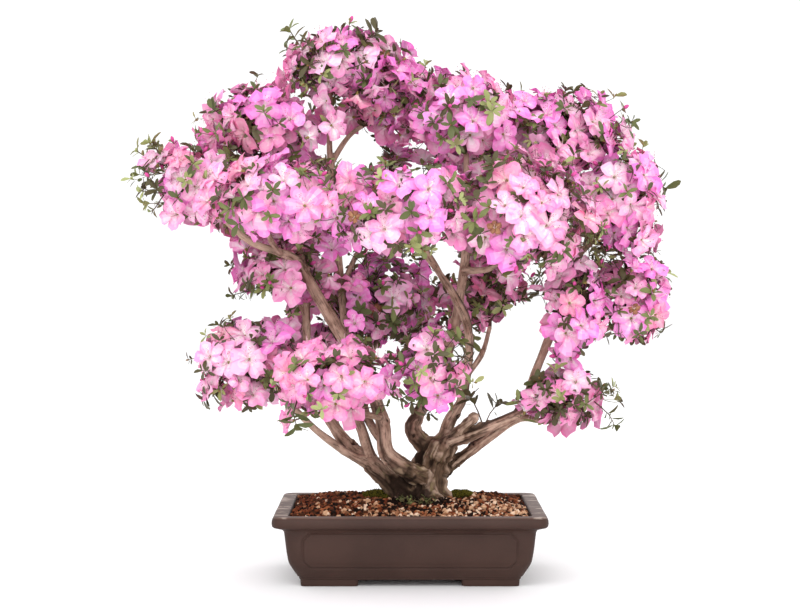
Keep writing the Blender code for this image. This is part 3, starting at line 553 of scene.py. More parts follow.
class Recipe:
    """A material that is put together node by node."""

    def __init__(self, name: str) -> None:
        """Starts from a plain Principled shader."""
        self.material = bpy.data.materials.new(name)
        self.material.use_nodes = True
        self.tree = self.material.node_tree
        self.shader = self.tree.nodes["Principled BSDF"]

    def fill(self, socket: bpy.types.NodeSocket, value: Line | float | Sequence[float]) -> None:
        """Links a line to a socket, or sets the socket's own value."""
        if isinstance(value, Line):
            self.tree.links.new(value.socket, socket)
        elif socket.type == "RGBA" and len(value) == 3:
            socket.default_value = (*value, 1.0)
        else:
            socket.default_value = value

    def out(
        self, kind: str, output: int | str = 0, settings: dict | None = None,
        sockets: dict | None = None,
    ) -> Line:
        """Adds a node.

        Args:
            kind: the node's type.
            output: which output is wanted.
            settings: the node's own choices, which are set first.
            sockets: values or lines for its inputs, by name or number.

        Returns:
            That output.
        """
        node = self.tree.nodes.new(kind)
        for key, value in (settings or {}).items():
            setattr(node, key, value)
        for key, value in (sockets or {}).items():
            self.fill(node.inputs[key], value)
        return Line(self, node.outputs[output])

    def place(self, stretch: Sequence[float] = (1.0, 1.0, 1.0), trait: str = "") -> Line:
        """Object coordinates, or a vector attribute, times a number on each axis."""
        if trait:
            where = self.out("ShaderNodeAttribute", "Vector", {"attribute_name": trait})
        else:
            where = self.out("ShaderNodeTexCoord", "Object")
        settings = {"operation": "MULTIPLY"}
        return self.out("ShaderNodeVectorMath", 0, settings, {0: where, 1: stretch})

    def trait(self, name: str) -> Line:
        """A number that the mesh gives at each point."""
        return self.out("ShaderNodeAttribute", "Fac", {"attribute_name": name})

    def axis(self, where: Line, number: int) -> Line:
        """One coordinate of a place or direction: 0 across, 1 deep, 2 up."""
        return self.out("ShaderNodeSeparateXYZ", number, {}, {0: where})

    def noise(self, where: Line, scale: float, detail: float = 3.0, rough: float = 0.55) -> Line:
        """Cloud noise about 0.5, of so many grains a metre."""
        sockets = {"Vector": where, "Scale": scale, "Detail": detail, "Roughness": rough}
        return self.out("ShaderNodeTexNoise", 0, {}, sockets)

    def cells(self, where: Line, scale: float) -> Line:
        """Distance to the nearest of many scattered points."""
        return self.out("ShaderNodeTexVoronoi", "Distance", {}, {"Vector": where, "Scale": scale})

    def mix(self, share: Line | float, first: Line | Colour, second: Line | Colour) -> Line:
        """A colour between two, by a share from 0 to 1."""
        settings = {"data_type": "RGBA", "clamp_factor": True}
        return self.out("ShaderNodeMix", 2, settings, {0: share, 6: first, 7: second})

    def relief(self, height: Line, depth: float, strength: float = 1.0) -> Line:
        """A Bump node of so many metres."""
        sockets = {"Height": height, "Distance": depth, "Strength": strength}
        return self.out("ShaderNodeBump", 0, {}, sockets)

    def wear(self, **sockets: Line | float | Sequence[float]) -> bpy.types.Material:
        """Fills the shader's sockets, whose names have spaces for underscores."""
        for key, value in sockets.items():
            self.fill(self.shader.inputs[key.replace("_", " ")], value)
        return self.material


@dataclass(frozen=True)
class Tinted:
    """One plain tint with a fine grain, for small things whose tints are dealt out."""

    name: str
    tint: Colour
    roughness: float = 0.6
    grain: float = 0.0012
    relief: float = 0.0001
    specular: float = 0.3

    def material(self) -> bpy.types.Material:
        """The finish: gloss that varies and fine bumps, under the plain tint."""
        recipe = Recipe(self.name)
        grain = recipe.noise(recipe.place(), 1.0 / self.grain)
        return recipe.wear(
            Base_Color=self.tint,
            Roughness=grain * 0.24 + (self.roughness - 0.12),
            Normal=recipe.relief(grain, self.relief),
            Specular_IOR_Level=self.specular,
        )


def tinted_set(prefix: str, tints: type[Enum], **look: float) -> Materials:
    """A finish for each named tint, all with the same look."""
    return [
        Tinted(f"{prefix}_{tint.name.lower()}", tint.value, **look).material() for tint in tints
    ]


@dataclass(frozen=True)
class Bark:
    """Azalea bark: pinkish tan and fibrous on the boughs, darker and mossy at the foot."""

    pale: Colour = (0.490, 0.318, 0.245)
    tan: Colour = (0.285, 0.162, 0.118)
    # Painted highlight: the palest colour goes on the crests of the relief.
    crest_highlight: Colour = (0.700, 0.505, 0.390)
    # Painted shade: the darkest colour goes into the relief's grooves and low spots, the scars'
    # sunk middles and the sinks low on the trunk.
    furrow_shade: Colour = (0.022, 0.011, 0.007)
    foot: Colour = (0.108, 0.064, 0.036)
    lichen: Colour = (0.285, 0.225, 0.110)
    cut: Colour = (0.50, 0.345, 0.235)
    dark_below: float = 0.110
    clean_above: float = 0.196

    def material(self) -> bpy.types.Material:
        """Fibres run along each limb, by the attribute that unrolls it."""
        recipe = Recipe("azalea_bark")
        along = recipe.place((1.0, 1.0, 0.16), "unrolled")
        fibre = recipe.noise(along, 520.0, 5.0, 0.62)
        plate = recipe.noise(along, 150.0, 4.0, 0.6)
        patch = recipe.noise(recipe.place(), 55.0, 4.0)
        height = recipe.axis(recipe.place(), 2)
        wound = recipe.trait("wound")
        # How much painted shade lies in the scars' sunk middles and the sinks low on the trunk.
        hollow = recipe.trait("hollow")
        skin = recipe.mix(patch.between(0.36, 0.66), self.tan, self.pale)
        # Painted shade where the fibres sink.
        skin = recipe.mix((1.0 - fibre).between(0.50, 0.68) * 0.7, skin, self.furrow_shade)
        age = recipe.trait("age")
        low = (1.0 - height.between(self.dark_below, self.clean_above)) * 0.8 + (patch - 0.5) * 0.8
        low = low + age * 0.75
        skin = recipe.mix(low.between(0.25, 0.95) * 0.85, skin, self.foot)
        crust = low.between(0.3, 0.8) * plate.between(0.55, 0.66)
        skin = recipe.mix(crust * 0.6, skin, self.lichen)
        # Painted shade where the plates sink.
        skin = recipe.mix((1.0 - plate).between(0.56, 0.68) * 0.55, skin, self.furrow_shade)
        # Painted shade in the low spots of the relief and a painted highlight on its crests, by the
        # ridge attribute.
        ridge = recipe.trait("ridge")
        skin = recipe.mix((1.0 - ridge).between(0.44, 0.94) * 0.8, skin, self.furrow_shade)
        skin = recipe.mix((ridge + fibre * 0.4).between(0.72, 1.10) * 0.50, skin, self.crest_highlight)
        # Painted shade in the scars' sunk middles and the sinks low on the trunk.
        skin = recipe.mix(hollow.between(0.1, 0.7) * 0.92, skin, self.furrow_shade)
        skin = recipe.mix(wound * 0.75, skin, self.cut)
        return recipe.wear(
            Base_Color=skin,
            Roughness=fibre * 0.2 + 0.74,
            Normal=recipe.relief(fibre * 0.6 + plate * 0.9, 0.0017, 1.0),
            Specular_IOR_Level=0.14,
        )


@dataclass(frozen=True)
class Clay:
    """Unglazed dark brown clay: fine sand, a dusty rim and pale lime near the rim's ends."""

    body: Colour = (0.0370, 0.0158, 0.0108)
    warm: Colour = (0.0490, 0.0220, 0.0154)
    dust: Colour = (0.150, 0.092, 0.072)
    lime: Colour = (0.46, 0.375, 0.315)
    rim_height: float = 0.0925
    lime_from: float = 0.156

    def material(self) -> bpy.types.Material:
        """Dust lies on the flat of the rim and lime in bands across its ends."""
        recipe = Recipe("unglazed_clay")
        where = recipe.place()
        sand = recipe.noise(where, 900.0, 3.0)
        cloud = recipe.noise(where, 14.0, 5.0)
        speck = recipe.cells(where, 420.0)
        across, height = recipe.axis(where, 0), recipe.axis(where, 2)
        upward = recipe.axis(recipe.out("ShaderNodeNewGeometry", "Normal"), 2)
        skin = recipe.mix(cloud.between(0.35, 0.7), self.body, self.warm)
        skin = recipe.mix((1.0 - speck).between(0.86, 0.96) * 0.25, skin, self.dust)
        on_rim = height.between(self.rim_height - 0.0015, self.rim_height)
        on_rim = on_rim * upward.between(0.55, 0.9)
        skin = recipe.mix(on_rim * (cloud * 0.5 + 0.45), skin, self.dust)
        off = {0: across - POT_MIDDLE[0]}
        end = recipe.out("ShaderNodeMath", 0, {"operation": "ABSOLUTE"}, off)
        band = recipe.noise(recipe.place((26.0, 60.0, 1.0)), 1.0, 5.0, 0.65)
        lime = on_rim * end.between(self.lime_from, self.lime_from + 0.004)
        lime = lime * band.between(0.50, 0.60)
        skin = recipe.mix(lime * 0.8, skin, self.lime)
        return recipe.wear(
            Base_Color=skin,
            Roughness=sand * 0.2 + 0.48,
            Normal=recipe.relief(sand * 0.5 + cloud, 0.0003, 0.6),
            Specular_IOR_Level=0.28,
        )


@dataclass(frozen=True)
class Earth:
    """Damp soil under the grains."""

    dark: Colour = (0.011, 0.005, 0.003)
    red: Colour = (0.040, 0.014, 0.007)

    def material(self) -> bpy.types.Material:
        """Crumbs of two browns."""
        recipe = Recipe("damp_soil")
        crumb = recipe.cells(recipe.place(), 260.0)
        cloud = recipe.noise(recipe.place(), 90.0, 4.0)
        return recipe.wear(
            Base_Color=recipe.mix(cloud.between(0.4, 0.65), self.dark, self.red),
            Roughness=cloud * 0.1 + 0.88,
            Normal=recipe.relief(crumb, 0.002),
            Specular_IOR_Level=0.2,
        )


@dataclass(frozen=True)
class StudioFloor:
    """A pale, faintly mottled floor."""

    pale: Colour = (0.985, 0.985, 0.985)
    grey: Colour = (0.975, 0.975, 0.98)

    def material(self) -> bpy.types.Material:
        """Two near whites."""
        recipe = Recipe("studio_floor")
        cloud = recipe.noise(recipe.place(), 3.0)
        return recipe.wear(
            Base_Color=recipe.mix(cloud.between(0.3, 0.7), self.pale, self.grey),
            Roughness=cloud * 0.1 + 0.8,
        )


# ---- wood
class Skeleton:
    """The limbs' centre lines and radii, for distances and for places along the limbs."""

    def __init__(self, limbs: Sequence[Limb], steps: int) -> None:
        """Draws the centre lines.

        Args:
            limbs: the limbs, each after what carries it.
            steps: stretches between two points of a limb's route.
        """
        self.limbs = list(limbs)
        self.lines = [smooth_route(limb.route, steps) for limb in limbs]
        self.radii = []
        starts, runs, radii, axes, along = [], [], [], [], []
        for limb, line in zip(limbs, self.lines):
            length = lengths_along(line)
            radius = limb.root_radius + (limb.tip_radius - limb.root_radius) * length / length[-1]
            self.radii.append(radius)
            heading = unit(np.gradient(line, axis=0))
            axis = frames_on(heading, self.hint(line))
            starts.append(line[:-1])
            runs.append(np.diff(line, axis=0))
            radii.append(np.stack([radius[:-1], radius[1:]], axis=1))
            axes.append(np.stack([axis[:-1, :2], axis[1:, :2]], axis=1))
            along.append(np.stack([length[:-1], length[1:]], axis=1))
        self.starts, self.runs = np.concatenate(starts), np.concatenate(runs)
        self.ends_radii, self.ends_along = np.concatenate(radii), np.concatenate(along)
        self.axes = np.concatenate(axes)
        self.squares = (self.runs**2).sum(1)

    @staticmethod
    def hint(line: Array) -> Array:
        """The axis that a line runs along least."""
        heading = unit(np.diff(line, axis=0))
        return np.eye(3)[np.abs(heading).max(0).argmin()]

    def nearest(self, points: Array) -> tuple[Array, Array, Array]:
        """The nearest stretch of limb to each point.

        Args:
            points: (..., 3).

        Returns:
            The distance to the limb's surface, negative inside; the stretch's number; and how
            far along the stretch, from 0 to 1.
        """
        reach = points[..., None, :] - self.starts
        share = np.clip((reach * self.runs).sum(-1) / self.squares, 0.0, 1.0)
        off = np.linalg.norm(reach - share[..., None] * self.runs, axis=-1)
        off -= self.ends_radii[:, 0] + share * (self.ends_radii[:, 1] - self.ends_radii[:, 0])
        best = off.argmin(-1)
        pick = best[..., None]
        off, share = (np.take_along_axis(values, pick, -1)[..., 0] for values in (off, share))
        return off, best, share

    def unroll(self, points: Array, batch: int = 4000) -> tuple[Array, Array]:
        """Each point's place on its nearest limb.

        Args:
            points: (points, 3).
            batch: how many are worked out at once.

        Returns:
            Coordinates across, across and along the limb in metres, and the limb's radius there.
        """
        found = [self.nearest(points[i : i + batch]) for i in range(0, len(points), batch)]
        best, share = (np.concatenate([item[k] for item in found]) for k in (1, 2))
        axes = self.axes[best]
        axes = axes[:, 0] + share[:, None, None] * (axes[:, 1] - axes[:, 0])
        off = points - self.starts[best] - share[:, None] * self.runs[best]
        across = np.einsum("nij,nj->ni", axes, off)
        ends, radii = self.ends_along[best], self.ends_radii[best]
        along = ends[:, 0] + share * (ends[:, 1] - ends[:, 0])
        radius = radii[:, 0] + share * (radii[:, 1] - radii[:, 0])
        return np.column_stack([across, along]), radius

    def at(self, name: str, share: float, way: Sequence[float]) -> Array:
        """The point of a limb's skin at a share of its length, on the side that faces a way."""
        number = next(i for i, limb in enumerate(self.limbs) if limb.name == name)
        line, radii = self.lines[number], self.radii[number]
        place = share * (len(line) - 1)
        spots = np.arange(len(line))
        middle = np.array([np.interp(place, spots, line[:, k]) for k in range(3)])
        heading = unit(np.array([np.interp(place, spots, v) for v in np.gradient(line, axis=0).T]))
        side = np.array(way) - np.dot(way, heading) * heading
        return middle + unit(side) * np.interp(place, spots, radii)


@dataclass(frozen=True)
class Scar:
    """An old pruning scar: a raised ring of bark round a pale face, or round a sunk middle that is
    painted dark as shade.
    """

    limb: str
    share: float
    way: Point
    size: float
    pale: bool = False


@dataclass
class Wood:
    """The trunk, the leaning stem and every bough, as one blended skin with bark relief."""

    skeleton: Skeleton
    voxel: float = 0.0014
    sides: int = 20
    split_height: float = 0.335
    root_lobes: int = 5
    root_swell: float = 0.0095
    root_fade: float = 0.0125
    collar: float = 0.42
    old_wood: tuple[tuple[Point, Point], ...] = (
        ((0.046, 0.0, 0.135), (0.052, 0.060, 0.088)),
        ((0.088, -0.018, 0.198), (0.030, 0.045, 0.022)),
    )
    scars: tuple[Scar, ...] = (
        Scar("bough_knee", 0.165, (-0.7, -0.7, -0.1), 0.0060, True),
        Scar("bough_knee", 0.245, (-1.0, -0.2, 0.0), 0.0050),
        Scar("trunk", 0.62, (-0.35, -1.0, 0.0), 0.0085),
        Scar("trunk", 0.80, (0.75, -0.8, 0.0), 0.0070),
        Scar("trunk", 0.45, (0.9, -0.35, 0.0), 0.0080),
        Scar("trunk", 0.55, (-0.5, 1.0, 0.0), 0.0080),
        Scar("bough_low_right", 0.16, (0.1, -1.0, 0.5), 0.0060),
        Scar("bough_low_right", 0.27, (0.2, -0.6, 0.8), 0.0050),
        Scar("bough_right_low", 0.16, (0.0, -1.0, 0.3), 0.0060),
        Scar("bough_right_low", 0.52, (0.0, -0.3, 1.0), 0.0045),
        Scar("bough_left_outer", 0.16, (0.4, -0.5, 0.9), 0.0060),
        Scar("leaning_stem", 0.60, (-0.2, -0.9, 0.5), 0.0065),
        Scar("bough_right_high", 0.26, (0.5, -0.9, 0.0), 0.0050),
        Scar("bough_centre", 0.22, (0.8, -0.8, 0.0), 0.0045),
        Scar("bough_centre_left", 0.14, (-0.4, -1.0, 0.0), 0.0050),
        Scar("bough_centre_left", 0.30, (-0.8, -0.6, 0.0), 0.0042),
        Scar("bough_knee", 0.50, (0.6, -0.8, 0.0), 0.0042),
        Scar("dead_stub", 0.99, (0.3, -0.2, 0.9), 0.0050, True),
    )

    # Small sinks where the leaning stem meets the trunk, painted dark as shade.
    shaded_pits: tuple[tuple[Point, Point], ...] = (
        ((0.002, -0.018, 0.124), (0.015, 0.030, 0.016)),
        ((0.020, -0.020, 0.109), (0.026, 0.034, 0.009)),
        ((0.026, -0.012, 0.158), (0.006, 0.020, 0.009)),
    )

    def limb_tube(self, number: int) -> Shell:
        """One limb as a tube: its collar swells it by exp(-along / carrier) where it leaves."""
        line, radii = self.skeleton.lines[number], self.skeleton.radii[number].copy()
        along = lengths_along(line)
        if number > 1:
            others = Skeleton(self.skeleton.limbs[:number], 4)
            _, stretch, _ = others.nearest(line[0])
            carrier = others.ends_radii[stretch].mean()
            radii *= 1.0 + self.collar * np.exp(-(along / (1.15 * carrier)) ** 1.6)
        wave = np.column_stack([along / 0.017, np.full_like(along, number * 7.3), along * 0.0])
        radii *= 1.0 + 0.07 * lattice_noise(wave, number)
        sway = np.stack([lattice_noise(wave * 0.55, number + k) for k in (10, 20, 30)], axis=1)
        free = np.clip(along / 0.02, 0.0, 1.0) * np.clip((along[-1] - along) / 0.02, 0.0, 1.0)
        line = line + sway * (0.22 * radii * free)[:, None]
        hint = Skeleton.hint(line)
        shell = tubes(line[None], radii[None], self.sides, hint[None])
        if number < 2:
            foot = shell.points[:, :2] - line[0, :2]
            lobe = 0.55 + 0.45 * np.cos(self.root_lobes * np.arctan2(foot[:, 1], foot[:, 0]) + 0.6)
            rise = np.maximum(shell.points[:, 2] - TRUNK_FOOT, 0.0)
            push = self.root_swell * lobe * np.exp(-rise / self.root_fade)
            shell.points[:, :2] += unit(foot) * push[:, None]
        return shell

    def blended(self) -> tuple[Array, Array, Array]:
        """The limbs' tubes as one skin: remeshed by voxels, then smoothed where they join.

        Returns:
            Its points, its faces and its normals.
        """
        rough = Shell.joined(self.limb_tube(i) for i in range(len(self.skeleton.limbs)))
        guide = linked("wood_guide", rough.mesh("wood_guide", (), False))
        remesh = guide.modifiers.new("blend", "REMESH")
        remesh.mode = "VOXEL"
        remesh.voxel_size = self.voxel
        soften = guide.modifiers.new("soften", "SMOOTH")
        soften.factor = 0.5
        soften.iterations = 3
        graph = bpy.context.evaluated_depsgraph_get()
        mesh = bpy.data.meshes.new_from_object(guide.evaluated_get(graph))
        bpy.data.objects.remove(guide)
        points = np.empty(len(mesh.vertices) * 3, np.float32)
        mesh.vertices.foreach_get("co", points)
        normals = np.empty_like(points)
        mesh.vertex_normals.foreach_get("vector", normals)
        corners = np.empty(len(mesh.loops), np.int32)
        mesh.loops.foreach_get("vertex_index", corners)
        bpy.data.meshes.remove(mesh)
        return points.reshape(-1, 3).astype(float), corners.reshape(-1, 4), normals.reshape(-1, 3)

    def scar_relief(self, points: Array) -> tuple[Array, Array, Array]:
        """Height, pale faces, and the painted shade of the scars' sunk middles and of the sinks low
        on the trunk.

        A scar raises size·0.4·exp(-((d - size) / 0.4 size)²) and sinks size·0.45·exp(-(d / 0.6
        size)²), where d is the distance from its middle; the sunk middle of a scar that isn't pale
        is painted dark as shade. A pit sinks exp(-d⁴) of an ellipsoid and is painted dark as shade.
        """
        height, wound, hollow = (np.zeros(len(points)) for _ in range(3))
        rough = 1.0 + 0.55 * lattice_noise(points / 0.0050, 23.0)
        for scar in self.scars:
            middle = self.skeleton.at(scar.limb, scar.share, scar.way)
            away = np.linalg.norm(points - middle, axis=1) / scar.size * rough
            height += scar.size * 0.40 * np.exp(-(((away - 1.0) / 0.4) ** 2))
            height -= scar.size * (0.1 if scar.pale else 0.45) * np.exp(-((away / 0.6) ** 2))
            if scar.pale:
                wound += np.exp(-((away / 0.8) ** 4))
            else:
                # Painted shade in the scar's sunk middle.
                hollow += 0.7 * np.exp(-((away / 0.50) ** 4))
        for middle, reach in self.shaded_pits:
            away = np.linalg.norm((points - np.array(middle)) / np.array(reach), axis=1) * rough
            deep = np.exp(-(away**4))
            height -= 0.0010 * deep
            # Painted shade in the pit.
            hollow += deep
        return height, wound, hollow

    def skin(self) -> Shell:
        """The blended skin with its relief.

        The relief is groove + lump: grooves are -exp(-(n / 0.16)²) of noise n stretched along
        the limb, lumps are plain noise, and both grow with the limb's radius.
        """
        points, faces, normals = self.blended()
        unrolled, radius = self.skeleton.unroll(points)
        age = np.max([
            np.exp(-(np.linalg.norm((points - middle) / reach, axis=1) ** 4))
            for middle, reach in self.old_wood
        ], axis=0)
        old = np.maximum(age, np.exp(-np.maximum(points[:, 2] - 0.118, 0.0) / 0.030))
        thick = np.clip(radius / 0.010, 0.25, 2.0)
        fibres = lattice_noise(unrolled / (0.0042, 0.0042, 0.024), 3.0)
        groove = -np.exp(-((fibres / 0.16) ** 2))
        plates = lattice_noise(unrolled / (0.0085, 0.0085, 0.017), 5.0)
        lumps = lattice_noise(points / 0.015, 8.0)
        crumbs = lattice_noise(points / 0.0046, 11.0)
        knots = lattice_noise(points / 0.024, 17.0)
        ridges = lattice_noise(unrolled / (0.0075, 0.0075, 0.050), 29.0)
        fine = thick * (0.00050 * groove + 0.00055 * plates + 0.00080 * ridges)
        fine += old * (0.0021 * crumbs + 0.0015 * groove + 0.0016 * ridges)
        height = fine + thick * (0.00105 * lumps + 0.0013 * knots)
        height += old * (0.0016 * lumps + 0.0022 * knots)
        cut, wound, hollow = self.scar_relief(points)
        points = points + normals * (height + cut)[:, None]
        points[:, 2] = np.maximum(points[:, 2], TRUNK_FOOT)
        # The ridge attribute follows the fine relief's height; the bark paints shade in its low
        # spots and a highlight on its crests.
        ridge = 0.55 + fine / (0.0019 * thick + 0.0042 * old)
        traits = {
            "unrolled": unrolled, "age": age, "wound": np.clip(wound, 0, 1),
            "hollow": np.clip(hollow, 0, 1), "ridge": np.clip(ridge, 0, 1),
        }
        return Shell(points, faces, None, traits)

    def build(self) -> None:
        """Makes the wood: one piece up to the crown and one inside it."""
        shell = self.skin()
        bark = Bark().material()
        high = shell.points[shell.faces].mean(1)[:, 2] > self.split_height
        starts_high = [limb.route[0][2] > self.split_height for limb in self.skeleton.limbs]
        for name, chosen, wanted in (("wood_below", ~high, False), ("wood_above", high, True)):
            pairs = zip(self.skeleton.limbs, starts_high)
            nodes = [limb.name for limb, starts in pairs if starts == wanted]
            set_down(name, shell.part(chosen), [bark], nodes)


# ---- growth
@dataclass(frozen=True)
class Fork:
    """A place on a stem or twig that another twig may leave."""

    point: Array
    heading: Array
    way: float  # metres of twig between the stem and here
    radius: float
    order: int  # 0 on the stem, 1 on a twig, 2 on a side twig


@dataclass
class Harvest:
    """What the growth rule sets down, piece by piece."""

    twigs: list[tuple[Array, float, float]] = field(default_factory=list)
    blooms: list[tuple[Array, Array, float, int]] = field(default_factory=list)
    leaves: list[tuple[Array, Array, Array, float, int]] = field(default_factory=list)
    buds: list[tuple[Array, Array, float, int]] = field(default_factory=list)

    def add_whorl(
        self, chance: Chance, base: Array, axis: Array, count: int,
        leaf: tuple[float, float], tint: int,
    ) -> None:
        """Leaves round a twig's tip, which lean out from its axis.

        Args:
            chance: for its draws.
            base: the tip.
            axis: the twig's direction there.
            count: how many leaves.
            leaf: a leaf's length, and how far it rises along the axis.
            tint: which of the leaf tints.
        """
        length, rise = leaf
        start = chance.uniform(0.0, math.tau)
        turn = start + np.arange(count) * (math.tau / count) + chance.normal(0, 0.22, count)
        axes = frames_on(np.tile(axis, (count, 1)), np.roll(axis, 1) + 0.3, turn)
        for number, side in enumerate(axes[:, 0]):
            way = unit(side + axis * (rise + chance.normal(0, 0.30)) + UP * 0.08)
            size = length * chance.uniform(0.55, 1.15)
            spot = base - axis * 0.0065 * number / count
            outer = unit(base * (1.0, 1.0, 0.0) + 1e-6) * 0.45
            face = unit(axis + UP * 0.25 + outer + chance.normal(0, 0.32, 3))
            self.leaves.append((spot, way, unit(face - way * (face @ way)), size, tint))


@dataclass
class Rule:
    """The numbers of the growth rule, in metres, and its chances and shares."""

    clear_of_limb: float = 0.0020
    proud: float = -0.009
    join: float = 0.024
    crease: float = 0.004
    sites: int = 330
    bloom_radius: float = 0.0278
    bloom_depth: float = 0.0140
    bloom_spacing: float = 0.0302
    rosette_spacing: float = 0.0196
    rim_rosettes: float = 0.10
    bloom_depths: Numbers = (1.24, 1.12, 1.0, 0.90, 0.78, 0.64)
    rosette_depths: Numbers = (1.14, 1.0, 0.86, 0.74, 0.60, 0.46)
    scaffold: int = 16
    scaffold_depth: float = 0.58
    stem_shares: Numbers = (0.25, 0.5, 0.75, 0.97)
    twig_shares: Numbers = (0.35, 0.6, 0.82)
    twig_radii: Numbers = (0.00150, 0.00105, 0.00075, 0.00060)
    twig_taper: float = 0.6
    forks_tried: int = 4
    least_run: float = 0.004
    bearing_run: float = 0.014  # a shorter twig bears no others
    bloom_facing: tuple[float, float, float] = (0.30, 0.45, 0.34)  # up, outwards, by chance
    bloom_room: tuple[float, float] = (0.012, 0.001)  # from a limb, at its mouth and at its seat
    bloom_window: float = 0.60
    shut_reach: float = 0.045
    shut_depth: float = -0.012
    spray_tint: float = 0.3
    faded_size: float = 0.40
    whorl_chance: float = 0.62
    whorl_leaf: float = 0.0175
    leaf_shares: Numbers = (0.34, 0.28, 0.20, 0.12, 0.06)
    rosette_leaf: tuple[float, float] = (0.0125, 0.0185)
    second_whorl: float = 0.55
    bud_chance: float = 0.35
    sparse_left: float = -0.306  # few leaves stand beyond this, and fewest in its lower part
    sparse_height: float = 0.538
    inner_blossom: float = 0.42
    faded: float = 0.018
    high_shares: Numbers = (0.56, 0.10, 0.19, 0.13, 0.02)
    high_from: float = 0.575
    tint_shares: Numbers = (0.20, 0.27, 0.28, 0.16, 0.09)
    # Painted light: blooms that face into the crown take paler tints, which lift the crown's inner
    # shade.
    shade_lift_shares: Numbers = (0.05, 0.17, 0.36, 0.24, 0.18)


MASS_SWAY = 0.011


def depths_outside(points: Array) -> Array:
    """How far points lie outside each mass, about in metres, negative inside: (masses, ...).

    A mass is its ellipsoid with a surface that noise raises and lowers by up to its sway.
    """
    sway = MASS_SWAY * lattice_noise(points / 0.055, 41.0)
    middles, reaches = (np.array([getattr(m, key) for m in MASSES]) for key in ("middle", "reach"))
    shape = (len(MASSES), *(1,) * (points.ndim - 1), 3)
    away = (points[None] - middles.reshape(shape)) / reaches.reshape(shape)
    depth = (np.linalg.norm(away, axis=-1) - 1.0) * reaches.mean(1).reshape(shape[:-1])
    return depth + sway


def depth_outside_all(points: Array, join: float) -> Array:
    """How far points lie outside the masses, run together: -k·ln of the sum of e^(-depth/k)."""
    depths = depths_outside(points)
    least = depths.min(axis=0)
    return least - join * np.log(np.exp((least - depths) / join).sum(axis=0))


def seen_through_window(points: Array, margin: float, windows: Sequence[Window] = WINDOWS) -> Array:
    """Whether points show inside a window that is grown by a margin, to the viewer's eye.

    A point shows at x·D/(D + y) across and h + (z - h)·D/(D + y) up, with D the eye's distance.
    """
    near = EYE_BACK / (EYE_BACK + points[..., 1])
    across = points[..., 0] * near
    height = EYE_HEIGHT + (points[..., 2] - EYE_HEIGHT) * near
    hidden = np.zeros(points.shape[:-1], bool)
    for gap in windows:
        wide = (across - gap.across) / (gap.half_width + margin)
        tall = (height - gap.height) / max(gap.half_height + margin, 0.0005)
        hidden |= wide**2 + tall**2 < 1.0
    return hidden


# Mouths of single blooms that stand between the masses, each grown from the nearest mass.
STRAY_BLOOMS = metres((
    (-107, -30, 632), (-84, -34, 604), (-98, 34, 580), (-112, -20, 590), (-44, 34, 604),
    (20, 4, 594), (10, 44, 584), (-88, -42, 446), (-104, 40, 452), (70, 40, 452), (58, 50, 436),
    (116, 30, 334), (126, 40, 350), (156, -46, 258), (146, -50, 246), (-166, -100, 222),
    (-150, -118, 216), (232, -50, 306), (236, -40, 284), (106, -30, 420), (30, -70, 560),
    (-36, -64, 578), (196, -70, 560), (290, -40, 448), (150, -60, 402), (-20, -20, 430),
    (6, -60, 420), (-60, -30, 344), (-138, -20, 654), (-152, -4, 640), (-172, -85, 228),
    (-164, -50, 222), (114, -58, 574), (142, -64, 586), (172, -70, 576), (216, -60, 578),
    (242, -55, 562), (120, -70, 548), (150, -80, 556), (-108, -22, 722), (-36, -20, 722),
    (-78, -36, 716), (254, -12, 640), (232, -24, 630),
))


